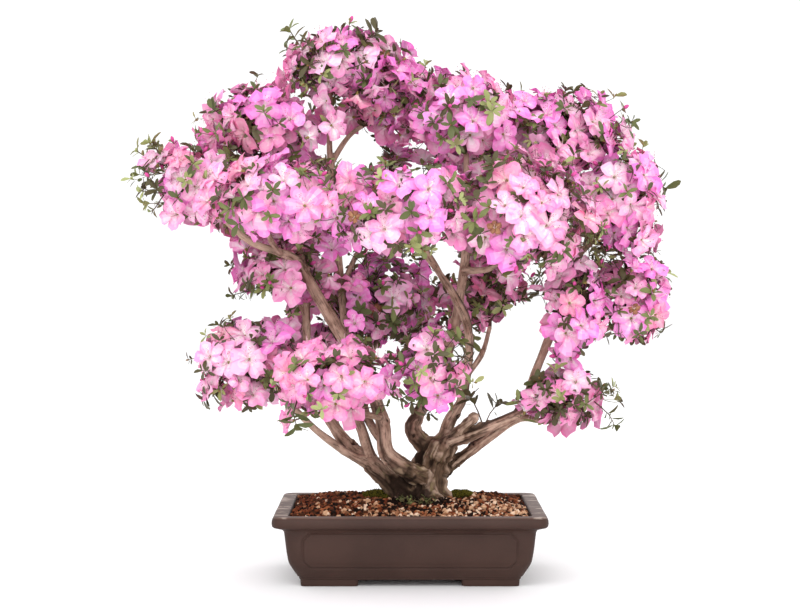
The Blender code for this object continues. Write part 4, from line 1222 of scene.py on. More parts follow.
class Grower:
    """Grows one mass: twigs from one stem by the seeded rule, and what stands on them."""

    def __init__(
        self, mass: Mass, skeleton: Skeleton, rule: Rule, harvest: Harvest,
        taken: list[Array], seed: int,
    ) -> None:
        """Takes the mass and what it must keep clear of.

        Args:
            mass: the mass to grow.
            skeleton: every limb.
            rule: the rule's numbers.
            harvest: where everything is set down.
            taken: the middles of blooms and rosettes of all the masses so far.
            seed: for this mass's own draws.
        """
        self.mass, self.skeleton, self.rule = mass, skeleton, rule
        self.harvest, self.taken = harvest, taken
        self.chance = np.random.default_rng(seed)
        self.middle, self.reach = np.array(mass.middle), np.array(mass.reach)
        flat = self.middle * (1.0, 1.0, 0.0)
        self.outward = unit(flat) if np.linalg.norm(flat) > 0.03 else UP
        self.forks: list[Fork] = []
        self.tint = int(self.chance.integers(0, 5))

    def own(self, points: Array, proud: float) -> Array:
        """Whether each point lies in the mass's own space, creases between masses among it."""
        depths = depths_outside(points)
        mine = MASSES.index(self.mass)
        others = np.delete(depths, mine, axis=0).min(axis=0)
        joined = depth_outside_all(points, self.rule.join)
        return (joined < proud) & (depths[mine] < others + self.rule.crease)

    def clear(self, points: Array, thickness: float) -> Array:
        """Whether each point lies that far from every limb's skin."""
        return self.skeleton.nearest(points)[0] > thickness + self.rule.clear_of_limb

    def add_twig(self, line: Array, radius: float, taper: float) -> None:
        """Sets a twig down."""
        self.harvest.twigs.append((line, radius, radius * taper))

    @staticmethod
    def curve(start: Array, heading: Array, end: Array, facing: Array, steps: int = 6) -> Array:
        """A cubic Bezier curve from a fork to a tip: (1-t)³a + 3(1-t)²t b + 3(1-t)t² c + t³d."""
        run = float(np.linalg.norm(end - start))
        t = np.linspace(0.0, 1.0, steps)[:, None]
        leave, arrive = start + heading * run * 0.34, end - facing * run * 0.30
        near = (1 - t) ** 3 * start + 3 * (1 - t) ** 2 * t * leave
        return near + 3 * (1 - t) * t**2 * arrive + t**3 * end

    def grow_stem(self) -> None:
        """The stem: it takes over from the bough's tip and runs towards the middle."""
        number = next(i for i, x in enumerate(self.skeleton.limbs) if x.name == self.mass.bough)
        line = self.skeleton.lines[number]
        radius = float(self.skeleton.radii[number][-1])
        heading = unit(line[-1] - line[-2])
        bend = line[-1] + heading * 0.012
        hub = bend + (self.middle - bend) * 0.6
        stem = self.curve(line[-1] - heading * 0.004, heading, hub, unit(hub - bend), 9)
        self.add_twig(stem, radius * 0.98, 0.62)
        along = np.gradient(stem, axis=0)
        for share in self.rule.stem_shares:
            spot = min(int(share * 8), 8)
            self.forks.append(Fork(stem[spot], unit(along[spot]), 0.0, self.rule.twig_radii[0], 0))

    def grow_twig(self, tip: Array, facing: Array) -> Array | None:
        """A twig to a tip from the fork that gives the shortest way.

        Args:
            tip: where it ends.
            facing: the direction it ends in.

        Returns:
            Its curve, or None if every way is blocked.
        """
        def cost(fork: Fork) -> float:
            """The new twig's length, half the way to the fork, and its turn."""
            run = tip - fork.point
            length = float(np.linalg.norm(run))
            turn = 1.0 - float(run @ fork.heading) / max(length, 1e-6)
            return length * (1.0 + 0.25 * turn) + 0.5 * fork.way

        rule = self.rule
        for fork in sorted(self.forks, key=cost)[: rule.forks_tried]:
            run = float(np.linalg.norm(tip - fork.point))
            if run < rule.least_run:
                continue
            line = self.curve(fork.point, fork.heading, tip, facing)
            if not self.clear(line[2:-1], fork.radius * 0.5).all():
                continue
            if seen_through_window(line[1:], -0.004).any():
                continue
            self.add_twig(line, fork.radius, rule.twig_taper)
            order = fork.order + 1
            if order < len(rule.twig_radii) and run > rule.bearing_run:
                ways = np.gradient(line, axis=0)
                for share in rule.twig_shares:
                    spot = int(round(share * (len(line) - 1)))
                    way = fork.way + run * share
                    radius = rule.twig_radii[order]
                    self.forks.append(Fork(line[spot], unit(ways[spot]), way, radius, order))
            return line
        return None

    def shell_points(self, ways: Array, depths: Sequence[float]) -> tuple[Array, Array]:
        """The mass's points in those directions at those shares of its reach, and their ways."""
        points = self.middle + ways[None] * self.reach * np.array(depths)[:, None, None]
        every = np.broadcast_to(ways, points.shape)
        return points.transpose(1, 0, 2).reshape(-1, 3), every.transpose(1, 0, 2).reshape(-1, 3)

    def grow_scaffold(self) -> None:
        """The first twigs: they spread from the stem to even places half way out."""
        ways = spread_ways(self.rule.scaffold, self.chance.uniform(0.0, math.tau))
        tips, ways = self.shell_points(ways, (self.rule.scaffold_depth,))
        fits = self.own(tips, 0.0) & self.clear(tips, 0.004) & ~seen_through_window(tips, 0.006)
        for tip, way in zip(tips[fits], ways[fits]):
            line = self.grow_twig(tip, unit(way + UP * 0.2))
            if line is not None:
                self.harvest.buds.append((line[-1], unit(line[-1] - line[-2]), 0.0042, 0))

    def room_for(self, points: Array, spacing: float) -> bool:
        """Whether a place is free of every bloom and rosette so far."""
        if not self.taken:
            return True
        near = np.linalg.norm(np.array(self.taken[-1200:]) - points, axis=1)
        return bool(near.min() > spacing)

    def set_blooms(self) -> None:
        """Blooms first: out and up, nearer the middle where the rim is taken."""
        rule = self.rule
        ways = spread_ways(rule.sites, self.chance.uniform(0.0, math.tau))
        showing = UP * 0.5 + self.outward * 0.5
        order = np.argsort(-(ways @ showing) + self.chance.uniform(0.0, 0.9, len(ways)))
        mouths, every = self.shell_points(ways[order], rule.bloom_depths)
        stray = np.array(STRAY_BLOOMS)
        nearest = depths_outside(stray).argmin(axis=0)
        stray = stray[nearest == MASSES.index(self.mass)]
        alone = np.arange(len(stray) + len(mouths)) < len(stray)
        mouths = np.concatenate([stray, mouths])
        every = np.concatenate([unit(stray - self.middle), every])
        rise, outwards, by_chance = rule.bloom_facing
        facing = every + UP * rise + self.outward * outwards
        facing = unit(facing + self.chance.normal(0, by_chance, every.shape))
        fits = self.own(mouths + facing * 0.004, rule.proud) | alone
        seats = mouths - facing * rule.bloom_depth
        fits &= self.clear(mouths, rule.bloom_room[0]) & self.clear(seats, rule.bloom_room[1])
        fits &= ~seen_through_window(mouths, rule.bloom_radius * rule.bloom_window)
        fits &= ~seen_through_window(mouths, 0.0, GREEN_PATCHES) | (mouths[:, 1] > 0.03)
        ahead = mouths + facing * rule.shut_reach
        shut_in = depths_outside(ahead).min(axis=0) < rule.shut_depth
        chosen = self.chance.uniform(size=len(mouths)) < np.where(shut_in, rule.inner_blossom, 1.0)
        for number in np.flatnonzero(fits & chosen):
            mouth, face = mouths[number], facing[number]
            spacing = rule.bloom_spacing * self.chance.uniform(0.72, 1.06)
            skipped = self.chance.uniform() > self.mass.blossom and not alone[number]
            if skipped or not self.room_for(mouth, spacing):
                continue
            size = rule.bloom_radius * self.chance.uniform(0.80, 1.08)
            seat = mouth - face * rule.bloom_depth
            if self.grow_twig(seat - face * 0.001, face) is None:
                continue
            self.taken.append(mouth)
            open_shares = rule.high_shares if mouth[2] > rule.high_from else rule.tint_shares
            # Painted light: paler tints for blooms that face into the crown.
            shares = rule.shade_lift_shares if shut_in[number] else open_shares
            fresh = int(self.chance.choice(len(shares), p=shares))
            tint = self.tint if self.chance.uniform() < rule.spray_tint else fresh
            if self.chance.uniform() < rule.faded and not alone[number]:
                size, tint = size * rule.faded_size, len(BLOOM_TINTS) - 1
            self.harvest.blooms.append((seat, face, size, tint))
            if self.chance.uniform() < rule.whorl_chance:
                below, leaf = seat - face * 0.006, (rule.whorl_leaf, 0.15)
                self.harvest.add_whorl(self.chance, below, face, 3, leaf, self.leaf_tint())

    def leaf_tint(self) -> int:
        """A leaf tint for one spray."""
        return int(self.chance.choice(len(LeafTint), p=self.rule.leaf_shares))

    def set_rosettes(self) -> None:
        """Whorls of leaves in the room that is left."""
        rule = self.rule
        ways = spread_ways(rule.sites, self.chance.uniform(0.0, math.tau))
        order = self.chance.permutation(len(ways))
        spots, every = self.shell_points(ways[order], rule.rosette_depths)
        facing = unit(every + UP * 0.35 + self.chance.normal(0, 0.25, every.shape))
        fits = self.own(spots, -0.002) & self.clear(spots, 0.006)
        rim = depth_outside_all(spots, rule.join) > -0.012
        fits &= ~seen_through_window(spots, 0.006)
        thin = np.where(spots[:, 2] > rule.sparse_height, 0.3, 0.06)
        kept = self.chance.uniform(size=len(spots)) < thin
        fits &= (spots[:, 0] > rule.sparse_left) | kept
        leafy = seen_through_window(spots, 0.0, GREEN_PATCHES)
        for number in np.flatnonzero(fits):
            spot, face = spots[number], facing[number]
            bare = 1.0 - self.mass.blossom + rule.rim_rosettes
            if rim[number] and not leafy[number] and self.chance.uniform() > bare:
                continue
            if not self.room_for(spot, rule.rosette_spacing):
                continue
            line = self.grow_twig(spot, face)
            if line is None:
                continue
            self.taken.append(spot)
            tint = self.leaf_tint()
            young = tint >= 3
            length = self.chance.uniform(*rule.rosette_leaf)
            count = int(self.chance.integers(4, 7))
            self.harvest.add_whorl(self.chance, spot, face, count, (length, 0.55), tint)
            if self.chance.uniform() < rule.second_whorl:
                below, older = line[-2] * 0.7 + line[-1] * 0.3, 1 if young else tint
                self.harvest.add_whorl(self.chance, below, face, 3, (length, 0.2), older)
            if self.chance.uniform() < rule.bud_chance:
                kind = 1 if self.chance.uniform() < 0.35 else 0
                self.harvest.buds.append((spot, face, 0.010 if kind else 0.005, kind))

    def grow(self) -> None:
        """The whole mass, from its stem outwards."""
        self.grow_stem()
        self.grow_scaffold()
        self.set_blooms()
        self.set_rosettes()


@dataclass(frozen=True)
class Shoot:
    """A leafy shoot that stands out of the crown, as its route and its leaves' tint."""

    route: tuple[Point, ...]
    tint: int
    whorls: int = 3
    length: float = 0.022


SHOOTS = tuple(Shoot(metres(route), *leaves) for route, *leaves in (
    (((-300, -12, 545), (-330, -14, 556), (-352, -14, 570)), 4, 4),
    (((-296, -30, 548), (-318, -36, 566), (-332, -40, 580)), 3, 3),
    (((-112, 0, 690), (-135, -6, 712), (-148, -8, 732)), 2, 4),
    (((-40, 6, 684), (-18, 0, 700), (4, -2, 708)), 1, 4),
    (((-60, -20, 700), (-44, -30, 716), (-30, -34, 728)), 0, 3),
    (((112, -22, 199), (104, -24, 222), (94, -26, 242)), 0, 2),
    (((112, -22, 199), (120, -30, 220), (132, -34, 234)), 0, 2),
    (((300, -4, 350), (330, -10, 340), (350, -12, 326)), 1, 3),
    (((318, 0, 520), (342, 0, 530), (356, 0, 520)), 1, 3),
    (((-236, -20, 262), (-252, -30, 246), (-262, -34, 236)), 0, 4),
    (((-128, -160, 252), (-134, -170, 232), (-130, -176, 216)), 1, 3),
    (((258, -40, 236), (276, -50, 220), (284, -54, 204)), 1, 3),
))


class Crown:
    """Every mass and shoot, grown on from the limbs."""

    def __init__(self, skeleton: Skeleton) -> None:
        """Starts with nothing grown."""
        self.skeleton = skeleton
        self.harvest = Harvest()
        self.names = [mass.name for mass in MASSES]

    def grow(self) -> None:
        """Grows the masses in order, then the shoots."""
        taken: list[Array] = []
        for number, mass in enumerate(MASSES):
            seed = Seed.MASSES + number
            Grower(mass, self.skeleton, Rule(), self.harvest, taken, seed).grow()
        for number, shoot in enumerate(SHOOTS):
            self.grow_shoot(shoot, np.random.default_rng(Seed.SHOOTS + number))
        self.grow_sprouts(22)
        LOG.info(
            "grown: %d twigs, %d blooms, %d leaves, %d buds", len(self.harvest.twigs),
            len(self.harvest.blooms), len(self.harvest.leaves), len(self.harvest.buds),
        )

    def grow_sprouts(self, count: int) -> None:
        """Tiny sprouts on the dark soil in front of the trunk's foot, with two whorls each."""
        chance = np.random.default_rng(Seed.SPROUTS)
        x, y = chance.uniform(-0.006, 0.046, count), chance.uniform(-0.064, -0.040, count)
        feet = np.column_stack([x, y, soil_height(x, y) - 0.001])
        for foot in feet:
            way = unit(UP + chance.normal(0.0, 0.25, 3))
            tall = chance.uniform(0.005, 0.012)
            line = foot + way * np.linspace(0.0, tall, 6)[:, None]
            self.harvest.twigs.append((line, 0.00055, 0.0004))
            for share in (1.0, 0.6):
                leaf = (chance.uniform(0.0045, 0.0075), 0.5)
                tint = int(chance.integers(0, 3))
                self.harvest.add_whorl(chance, foot + way * tall * share, way, 4, leaf, tint)

    def grow_shoot(self, shoot: Shoot, chance: Chance) -> None:
        """One shoot: a curved twig with whorls of leaves towards its tip."""
        line = smooth_route(shoot.route, 4)
        self.harvest.twigs.append((line[[0, 2, 4, 6, 7, 8]], 0.0012, 0.0006))
        for whorl in range(shoot.whorls):
            spot = len(line) - 1 - whorl * 2
            axis = unit(line[spot] - line[spot - 1])
            count, leaf = 5 if whorl == 0 else 3, (shoot.length, 0.5)
            self.harvest.add_whorl(chance, line[spot], axis, count, leaf, shoot.tint)


# ---- twigs, leaves and buds
@dataclass
class CrownPart:
    """One kind of growth, made from the harvest in place of every mass."""

    harvest: Harvest
    nodes: list[str]


@dataclass
class Twigs(CrownPart):
    """Every twig and stem of the crown."""

    sides: int = 4

    def build(self) -> None:
        """Makes the twigs, those of six points apart from the stems of nine."""
        bark = Tinted("twig_bark", (0.105, 0.062, 0.045), 0.8, 0.0016, 0.0003).material()
        green = Tinted("green_twig", (0.125, 0.105, 0.035), 0.65, 0.0016, 0.0002).material()
        shells = []
        for rings in sorted({len(line) for line, _, _ in self.harvest.twigs}):
            group = [twig for twig in self.harvest.twigs if len(twig[0]) == rings]
            lines = np.array([line for line, _, _ in group])
            thick = np.array([(start, end) for _, start, end in group])
            share = np.linspace(0.0, 1.0, rings)
            radii = thick[:, :1] + (thick[:, 1:] - thick[:, :1]) * share
            chord = unit(lines[:, -1] - lines[:, 0])
            hints = np.cross(chord, any_ways(np.random.default_rng(Seed.TWIGS), len(lines)))
            sides = 8 if rings > 6 else self.sides
            shell = tubes(lines, radii, sides, unit(hints))
            fine = np.repeat(thick[:, 0] < 0.00065, len(shell.faces) // len(lines))
            shell.zones = fine.astype(int)
            shells.append(shell)
        set_down("twigs", Shell.joined(shells), [bark, green], self.nodes)


class LeafTint(Enum):
    """The leaves' greens, from old to young."""

    OLD = (0.086, 0.072, 0.031)
    DARK = (0.104, 0.116, 0.040)
    GREEN = (0.180, 0.200, 0.068)
    LIGHT = (0.295, 0.315, 0.118)
    YOUNG = (0.370, 0.400, 0.165)


@dataclass
class Leaves(CrownPart):
    """Every leaf: a pointed ellipse of twelve triangles, folded along its midrib."""

    width: float = 0.215  # half of it, as a share of the length
    fold: float = 0.32
    rows: Numbers = (0.20, 0.56, 0.86)
    swell: Numbers = (0.56, 1.0, 0.68)

    def faces(self) -> Array:
        """A fan at each end and two quads between two rows."""
        fans = [(0, 1, 2, -1), (0, 2, 3, -1), (7, 10, 8, -1), (8, 10, 9, -1)]
        return np.concatenate([grid_faces(3, 3)[:, ::-1] + 1, fans])

    def build(self) -> None:
        """Makes the leaves, each tint a finish."""
        bases, ways, normals, length, tint = columns_of(self.harvest.leaves, 0, 1, 2, 3, 4)
        chance = np.random.default_rng(Seed.LEAVES)
        count = len(length)
        droop = chance.uniform(0.02, 0.34, count)
        t = np.array([0.0, *np.repeat(self.rows, 3), 1.0])
        side = np.array([0.0, *np.tile((-1.0, 0.0, 1.0), 3), 0.0])
        wide = np.array([0.0, *np.repeat(self.swell, 3), 0.0]) * side * self.width
        along = t * length[:, None]
        across = wide * length[:, None] * chance.uniform(0.85, 1.15, (count, 1))
        fold = self.fold * chance.uniform(0.3, 1.4, (count, 1))
        rise = np.abs(across) * fold - droop[:, None] * t**2 * length[:, None]
        local = np.stack([along, across, rise], axis=-1)
        second = unit(np.cross(normals, ways))
        axes = np.stack([ways, second, np.cross(ways, second)], axis=1)
        points = np.einsum("nvi,nij->nvj", local, axes) + bases[:, None]
        zones = np.broadcast_to(tint[:, None], (count, len(self.faces())))
        shell = Shell.repeated(points, self.faces(), zones)
        gloss = (0.42, 0.44, 0.48, 0.5, 0.52)
        greens = [
            Tinted(f"leaf_{green.name.lower()}", green.value, rough, 0.0022, 0.0002).material()
            for green, rough in zip(LeafTint, gloss)
        ]
        set_down("leaves", shell, greens, self.nodes)


class BudTint(Enum):
    """A scale bud's parts and a flower bud's."""

    SCALE = (0.200, 0.105, 0.030)
    FLOWER = (0.640, 0.075, 0.300)


@dataclass
class Buds(CrownPart):
    """Pointed buds: small brown ones in scales and closed pink ones."""

    sides: int = 6
    profile: tuple[tuple[float, float], ...] = (
        (0.0, 0.10), (0.25, 0.24), (0.55, 0.26), (0.82, 0.13),
    )

    def build(self) -> None:
        """Turns the profile round each bud's axis and closes it to a point."""
        base, axis, length, kind = columns_of(self.harvest.buds, 0, 1, 2, 3)
        count = len(length)
        share, girth = np.array(self.profile).T
        routes = base[:, None] + axis[:, None] * (share[:, None] * length[:, None, None])
        radii = girth * length[:, None]
        hints = unit(np.cross(axis, any_ways(np.random.default_rng(Seed.BUDS), count)))
        shell = tubes(routes, radii, self.sides, hints)
        shell.zones = np.repeat(kind, len(shell.faces) // count)
        finishes = tinted_set("bud", BudTint, roughness=0.5, grain=0.001, relief=0.0002)
        set_down("buds", shell, finishes, self.nodes)


# ---- blossom
class Zone(Enum):
    """The bands of a petal, from its throat to its edge."""

    THROAT = 0
    PALE = 1
    LIGHT = 2
    PINK = 3
    EDGE = 4


@dataclass(frozen=True)
class BloomTint:
    """One spray's pinks, from throat to edge."""

    name: str
    bands: tuple[Colour, Colour, Colour, Colour, Colour]


BLOOM_TINTS = (
    BloomTint("orchid", ((0.94, 0.80, 0.80), (0.93, 0.57, 0.79), (0.92, 0.41, 0.73),
                         (0.91, 0.30, 0.68), (0.89, 0.21, 0.62))),
    BloomTint("rose", ((0.94, 0.80, 0.77), (0.93, 0.58, 0.71), (0.91, 0.44, 0.63),
                       (0.90, 0.34, 0.58), (0.88, 0.24, 0.52))),
    BloomTint("shell", ((0.95, 0.84, 0.82), (0.95, 0.67, 0.78), (0.94, 0.54, 0.71),
                        (0.92, 0.41, 0.65), (0.90, 0.30, 0.58))),
    BloomTint("blush", ((0.95, 0.88, 0.86), (0.95, 0.76, 0.84), (0.95, 0.64, 0.78),
                        (0.93, 0.51, 0.72), (0.92, 0.37, 0.65))),
    BloomTint("coral", ((0.93, 0.76, 0.70), (0.92, 0.55, 0.63), (0.90, 0.43, 0.57),
                        (0.88, 0.34, 0.51), (0.86, 0.25, 0.45))),
    BloomTint("faded", ((0.42, 0.30, 0.12), (0.44, 0.24, 0.12), (0.38, 0.17, 0.09),
                        (0.30, 0.12, 0.07), (0.20, 0.08, 0.05))),
)


@dataclass
class Petals:
    """The shape of a bloom: five petals that rise from a narrow throat and spread, ruffled.

    A point at s across and t along a petal lies at the radius
    r = r₀ + (L(s) - r₀)·t^1.25 with L(s) = R(0.55 + 0.45(1 - |s|^2.4))(1 - 0.07 e^-(s/0.22)²)
    · (1 + 0.06 sin(6.5 s + 1.7 phase)),
    at the angle a + s·π/5·(1 + 0.30 sin 0.8πt) and at the height
    H(1 - (1 - t)^2.2) - droop·t²·R, plus a roll s·t, which laps each petal over the next, a
    trough along its midrib, and a ruffle t² sin(5.2 s + phase).
    """

    seats: Array
    axes: Array
    size: Array
    chance: Chance
    throat: float = 0.0007
    depth: float = 0.38
    petals: int = 5

    def __post_init__(self) -> None:
        """Draws what differs from petal to petal."""
        shape = (len(self.size), self.petals, 1)
        turn = math.pi / 2 + np.arange(self.petals) * math.tau / self.petals
        self.turn = turn[None, :, None] + self.chance.normal(0.0, 0.06, shape)
        self.stretch = self.chance.uniform(0.86, 1.10, shape)
        self.droop = self.chance.uniform(-0.10, 0.34, shape)
        self.phase = self.chance.uniform(0.0, math.tau, shape)
        self.ruffle = self.chance.uniform(0.06, 0.15, shape)
        self.open = self.chance.uniform(0.78, 1.04, (len(self.size), 1, 1))

    def at(self, across: Array, along: Array) -> Array:
        """Points of every petal.

        Args:
            across: s from -1 to 1, (points,).
            along: t from 0 to 1, (points,).

        Returns:
            (blooms, petals, points, 3).
        """
        radius = self.size[:, None, None] * self.stretch
        s, t = across[None, None], along[None, None]
        reach = radius * (0.55 + 0.45 * (1.0 - np.abs(s) ** 2.4))
        reach = reach * (1.0 - 0.07 * np.exp(-((s / 0.22) ** 2)))
        reach = reach * (1.0 + 0.06 * np.sin(6.5 * s + 1.7 * self.phase))
        out = self.throat + (reach * self.open - self.throat) * t**1.25
        angle = self.turn + s * (math.pi / self.petals) * (1.0 + 0.30 * np.sin(0.8 * math.pi * t))
        rise = self.depth * radius * (1.0 - (1.0 - t) ** 2.2) / self.open
        rise = rise - self.droop * t**2 * radius + 0.060 * radius * s * t
        rise = rise - 0.05 * radius * np.exp(-((s / 0.3) ** 2)) * np.sin(math.pi * t)
        wave = np.sin(5.2 * s + self.phase) + 0.5 * np.sin(9.0 * s - 2.0 * self.phase)
        rise = rise + self.ruffle * radius * t**2 * wave * (0.45 + 0.55 * np.abs(s))
        local = np.stack([out * np.cos(angle), out * np.sin(angle), rise], axis=-1)
        return np.einsum("npki,nij->npkj", local, self.axes) + self.seats[:, None, None]


@dataclass
class Blossom(CrownPart):
    """Every bloom, dealt into pieces by tint, with stamens, freckles and calyxes."""

    rows: Numbers = (0.0, 0.24, 0.46, 0.67, 0.85, 1.0)
    columns: int = 7
    stamens: int = 5
    freckles: int = 10

    def __post_init__(self) -> None:
        """Turns the harvest's blooms into arrays; petal 0 of each stands uppermost."""
        blooms = self.harvest.blooms
        self.seats, self.facing, self.size, self.tint = columns_of(blooms, 0, 1, 2, 3)
        self.chance = np.random.default_rng(Seed.BLOSSOM)
        hints = np.where(np.abs(self.facing[:, 2:]) > 0.9, np.array((0.0, -1.0, 0.0)), UP)
        spin = self.chance.normal(0.0, 0.35, len(blooms))
        self.axes = frames_on(self.facing, hints + 1e-4, spin)
        self.shape = Petals(self.seats, self.axes, self.size, self.chance)

    def petal_shell(self) -> tuple[Shell, Array]:
        """Every petal, with its bands, and the tint of each face."""
        across = np.linspace(-1.0, 1.0, self.columns)
        along = np.array(self.rows)
        s, t = np.tile(across, len(along)), np.repeat(along, self.columns)
        points = self.shape.at(s, t)
        count, petals = points.shape[:2]
        faces = grid_faces(len(along), self.columns)[:, ::-1]
        middle_t = (along[1:] + along[:-1]) / 2
        middle_s = (across[1:] + across[:-1]) / 2
        t_face, s_face = (grid.ravel() for grid in np.meshgrid(middle_t, middle_s, indexing="ij"))
        depth = t_face * 0.80 + 0.32 * np.abs(s_face) ** 1.3 - 0.06
        shift = self.chance.normal(0.0, 0.05, (count * petals, 1))
        streak = self.chance.normal(0.0, 0.085, (count * petals, self.columns - 1))
        speckle = self.chance.normal(0.0, 0.03, (count * petals, len(faces)))
        speckle = speckle + np.tile(streak, len(along) - 1)
        zones = np.searchsorted((0.17, 0.36, 0.56, 0.78), (depth + shift + speckle).ravel())
        zones = zones.reshape(count * petals, -1)
        shell = Shell.repeated(points.reshape(count * petals, -1, 3), faces, zones)
        return shell, np.repeat(self.tint, petals * len(faces))

    def build_petals(self) -> None:
        """One piece for each tint."""
        shell, tint = self.petal_shell()
        for number, family in enumerate(BLOOM_TINTS):
            finishes = [
                Tinted(f"petal_{family.name}_{zone.name.lower()}", family.bands[zone.value],
                       roughness=0.56, grain=0.0009, relief=0.00018).material()
                for zone in Zone
            ]
            name, petals = f"blossom_{family.name}", shell.part(tint == number)
            set_down(name, petals, finishes, self.nodes)

    def build_stamens(self) -> None:
        """Filaments that lean out of the throat and turn up at their anthers."""
        count = len(self.size) * self.stamens
        size = np.repeat(self.size, self.stamens)[:, None]
        axes = np.repeat(self.axes, self.stamens, axis=0)
        seats = np.repeat(self.seats, self.stamens, axis=0)
        turn = self.chance.uniform(0.0, math.tau, (count, 1))
        lean = self.chance.uniform(0.10, 0.40, (count, 1))
        reach = self.chance.uniform(0.46, 0.72, (count, 1)) * size
        t = np.linspace(0.0, 1.0, 3)
        side = lean * size * t**1.3
        local = np.stack([
            side * np.cos(turn), side * np.sin(turn) - 0.16 * size * np.sin(math.pi * t) ** 2,
            reach * t + 0.001,
        ], axis=-1)
        routes = np.einsum("nki,nij->nkj", local, axes) + seats[:, None]
        radii = np.broadcast_to(np.array((0.00036, 0.00030, 0.00024)), (count, 3))
        hints = axes[:, 0]
        threads = tubes(routes, radii, 3, hints)
        tip_way = unit(routes[:, -1] - routes[:, -2])
        tips = routes[:, -1][:, None] + tip_way[:, None] * np.array((0.0, 0.0009))[None, :, None]
        anthers = tubes(tips, np.full((count, 2), 0.00048), 3, hints)
        filament = Tinted("filament", (0.90, 0.58, 0.66), 0.5, 0.001, 0.00005).material()
        anther = Tinted("anther", (0.300, 0.090, 0.110), 0.7, 0.0006, 0.0001).material()
        set_down("filaments", threads, [filament], self.nodes)
        set_down("anthers", anthers, [anther], self.nodes)

    def build_freckles(self) -> None:
        """Dark freckles on the uppermost petal: small diamonds a fifth of a millimetre above it."""
        s = self.chance.uniform(-0.5, 0.5, self.freckles)
        t = np.linspace(0.30, 0.66, self.freckles)
        corners = ((-0.055, 0.0), (0.0, -0.022), (0.055, 0.0), (0.0, 0.022))
        spots = [self.shape.at(s + ds, t + dt)[:, 0] for ds, dt in corners]
        points = np.stack(spots, axis=2) + self.facing[:, None, None] * 0.0002
        shell = Shell.repeated(points.reshape(-1, 4, 3), np.array([(0, 1, 2, 3)]))
        finish = Tinted("freckle", (0.42, 0.030, 0.135), 0.6, 0.001, 0.0001).material()
        set_down("freckles", shell, [finish], self.nodes)

    def build_calyxes(self) -> None:
        """A small green cup behind each bloom."""
        share, girth = np.array(((-0.0035, 0.0007), (0.0, 0.0021), (0.0024, 0.0019))).T
        routes = self.seats[:, None] + self.facing[:, None] * share[None, :, None]
        radii = np.broadcast_to(girth, (len(self.size), 3))
        shell = tubes(routes, radii, 5, self.axes[:, 0])
        finish = Tinted("calyx", (0.26, 0.20, 0.055), 0.6, 0.001, 0.0002).material()
        set_down("calyxes", shell, [finish], self.nodes)

    def build(self) -> None:
        """Makes everything that belongs to the blooms."""
        self.build_petals()
        self.build_stamens()
        self.build_freckles()
        self.build_calyxes()


# ---- pot
def even_run(start: float, end: float, step: float) -> Array:
    """Even stations from a start to just before an end."""
    return np.linspace(start, end, max(int(round((end - start) / step)), 1), endpoint=False)


